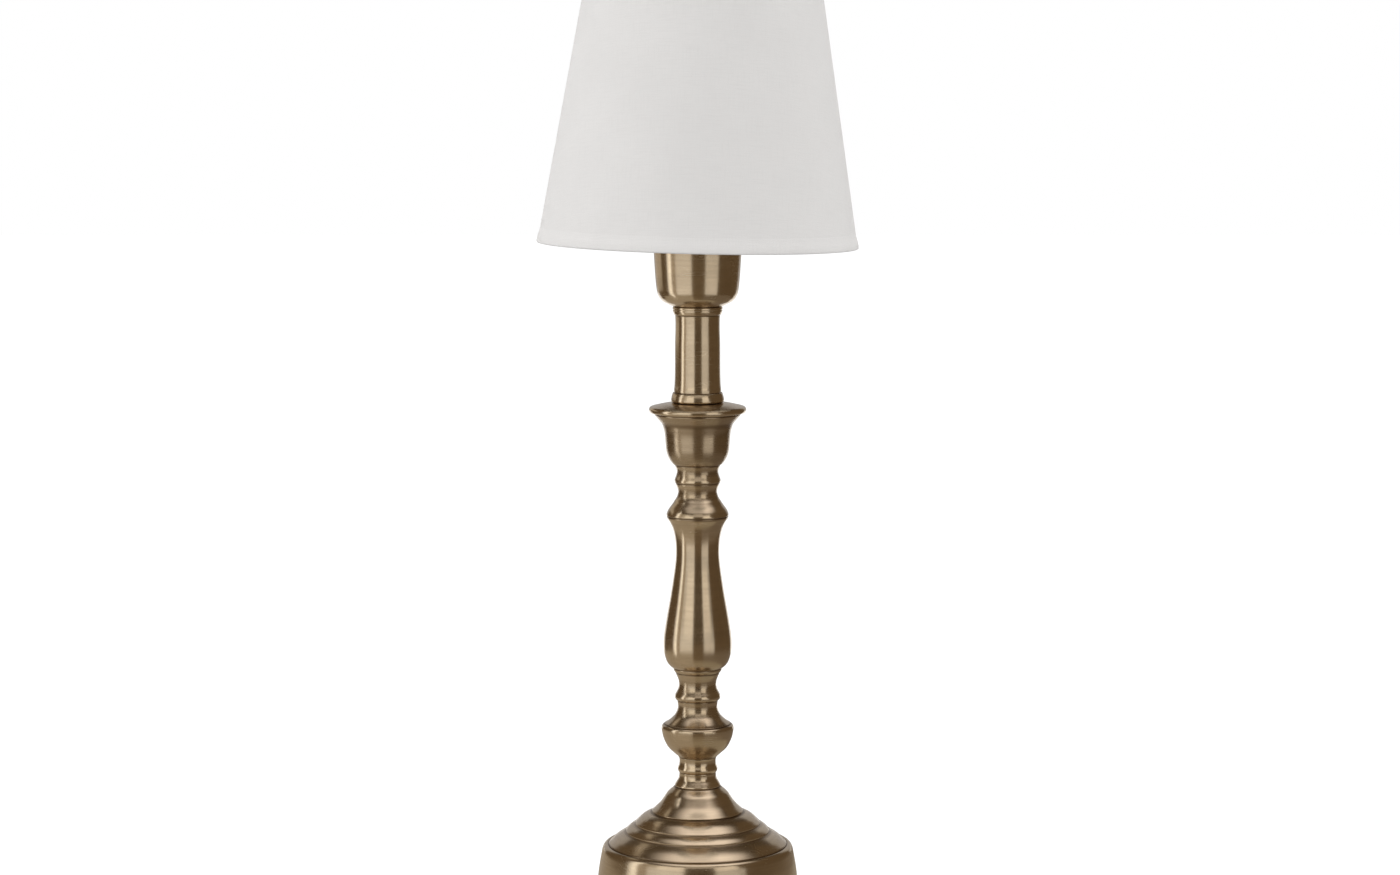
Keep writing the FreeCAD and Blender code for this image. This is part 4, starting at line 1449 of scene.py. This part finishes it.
@dataclass
class Studio:
    """Floor, white surroundings, lights, cards and camera.

    Attributes:
        lens: Focal length in millimetres.
        sensor: Width of the sensor in millimetres.
        place: Place of the camera.
        tilt: How far the camera looks down.
        dark: Glow of the dark cards.
        deep: Glow of the darkest cards.
        far: Distance of the walls.
        roof: Height of the ceiling.
        gap: Height of the level cards over the floor.
        floor_width: Width of the floor.
        floor_glow: What the floor gives off where it is looked at, so that it comes out white.
        lights: The lights.
    """

    lens: float = 88.71
    sensor: float = 36.0
    place: tuple[float, float, float] = (0.0015, -2.1385, 0.5362)
    tilt: float = 6.376
    dark: Colour = (0.14, 0.10, 0.06)
    deep: Colour = (0.085, 0.062, 0.038)
    far: float = 2.9
    roof: float = 3.1
    gap: float = 0.0006
    floor_width: float = 16.0
    floor_glow: float = 0.62
    lights: tuple[SoftLight, ...] = (
        SoftLight("left soft light", -74.0, 16.0, 11.3, 1.3),
        SoftLight("right soft light", 78.0, 16.0, 7.3, 1.3),
        SoftLight("top soft light", 0.0, 68.0, 3.5, 1.1),
    )

    def cards(self) -> list[Card | Panel]:
        """Returns the cards round the lamp."""
        front, left, right, back = (-16.0, 21.0), (-62.0, -16.0), (21.0, 58.0), (146.0, 214.0)
        low, far, roof = self.gap, self.far, self.roof
        spans = [(reach, low) for reach in (0.075, 0.2, 0.7, 1.8, 2.3, far)]
        mat, table, floor, rug, distant = zip(spans, spans[1:])
        levels = [(far, height) for height in (low, 0.25, 0.6, 2.1, roof)]
        skirting, wall, upper, top = zip(levels, levels[1:])
        below, above = ((far, low), (far, 1.6)), ((far, 1.6), (far, roof))
        side = (floor[0], distant[1], (far, roof))
        return [
            Card("front mat", front, mat, (0.38, 0.33, 0.25)),
            Card("front floor", front, (table[0], distant[1]), (0.18, 0.135, 0.085)),
            Card("front wall", front, below, (0.10, 0.075, 0.047)),
            Card("front window", front, above, (0.70, 0.66, 0.62)),
            Card("left floor", left, floor, (1.05, 1.05, 1.05)),
            Card("left rug", left, rug, (0.50, 0.46, 0.40)),
            Card("left far floor", left, distant, (0.90, 0.89, 0.86)),
            Card("left window foot", left, skirting, (0.82, 0.83, 0.84)),
            Card("left window", left, wall, (0.96, 0.97, 0.98)),
            Card("left window head", (-50.0, -16.0), upper, (1.25, 1.22, 1.16)),
            Card("left window side", (-62.0, -50.0), upper, (0.66, 0.62, 0.55)),
            Card("left gap", (-76.0, -62.0), (floor[0], distant[1], upper[1]), (0.44, 0.38, 0.31)),
            Card("left line", (-84.0, -76.0), ((0.45, 0.002), (1.9, 0.002), (1.9, 1.9)), (1.75, 1.78, 1.80)),
            Card("left top", (-90.0, -16.0), top, self.deep),
            Card("left card", (-146.0, -90.0), side, self.dark),
            Card("left glint", (-150.0, -110.0), ((0.32, 0.33), (0.32, 0.41)), (0.55, 0.50, 0.43)),
            Card("right floor", right, floor, (0.98, 0.97, 0.96)),
            Card("right rug", right, rug, (0.44, 0.40, 0.34)),
            Card("right far floor", right, distant, (0.92, 0.90, 0.86)),
            Card("right window foot", right, skirting, (0.64, 0.64, 0.64)),
            Card("right window", right, wall, (0.73, 0.73, 0.73)),
            Card("right window head", (21.0, 50.0), upper, (1.18, 1.14, 1.08)),
            Card("right window side", (50.0, 58.0), upper, self.dark),
            Card("right top", right, top, self.deep),
            Card("right card", (58.0, 146.0), side, self.dark),
            Card("back wall", back, below, (0.46, 0.45, 0.45)),
            Card("back top", back, above, self.deep),
            Card("left table", (-180.0, -16.0), (mat[0], table[1]), (0.45, 0.40, 0.33)),
            Card("right mat", (21.0, 180.0), mat, (0.38, 0.34, 0.27)),
            Card("right table", (21.0, 180.0), table, (0.22, 0.18, 0.14)),
            Card("ceiling", (-180.0, 180.0), ((far, roof), (0.02, roof)), self.deep),
            Panel("top window", (0.5, -0.6, 3.0), (5.4, 3.3), (1.45, 1.41, 1.44), self.deep),
        ]

    def build(self) -> None:
        """Sets up everything round the lamp."""
        self.build_world()
        self.build_floor()
        for thing in (*self.cards(), *self.lights):
            thing.build()
        self.build_camera()
        bpy.context.scene.view_settings.view_transform = "Standard"

    def build_world(self) -> None:
        """White for the camera, in glass and in metal, and as light."""
        world = bpy.data.worlds.new("studio")
        bpy.context.scene.world = world
        world.use_nodes = True
        world.node_tree.nodes.clear()
        net = Wiring(world.node_tree)
        white = net.node("ShaderNodeBackground", {"Color": (1.0, 1.0, 1.0, 1.0), "Strength": 1.0})
        net.node("ShaderNodeOutputWorld", {"Surface": white.outputs[0]})

    def build_floor(self) -> None:
        """Lays a plain pale floor that keeps the lamp's shadow, and is white where it is looked at."""
        floor = plane("floor", self.floor_width)
        material = bpy.data.materials.new("pale floor")
        material.use_nodes = True
        net = Wiring(material.node_tree)
        path = net.node("ShaderNodeLightPath").outputs
        direct = net.maths("MAXIMUM", path["Is Camera Ray"], path["Is Glossy Ray"])
        seen = net.maths("MAXIMUM", direct, path["Is Transmission Ray"])
        net.feed(material.node_tree.nodes["Principled BSDF"], {
            "Base Color": (0.5, 0.5, 0.5, 1.0), "Roughness": 0.9, "Specular IOR Level": 0.0,
            "Emission Color": (1.0, 1.0, 1.0, 1.0), "Emission Strength": net.times(seen, self.floor_glow)})
        floor.data.materials.append(material)

    def build_camera(self) -> None:
        """Places the camera as the photograph was taken."""
        data = bpy.data.cameras.new("camera")
        data.lens = self.lens
        data.sensor_width = self.sensor
        camera = bpy.data.objects.new("camera", data)
        bpy.context.scene.collection.objects.link(camera)
        camera.location = self.place
        camera.rotation_euler = (math.radians(90.0 - self.tilt), 0.0, 0.0)
        bpy.context.scene.camera = camera


def main() -> None:
    """Builds the lamp on its frame, sub-assembly by sub-assembly, and the studio round it."""
    logging.basicConfig(level=logging.INFO, format="%(message)s")
    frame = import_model()
    for assembly in (Studio(), Base(), Column(), Lampholder(), Bulb(), Shade()):
        assembly.build()
    Fittings().dress(frame["nodes"])


if __name__ == "__main__":
    main()
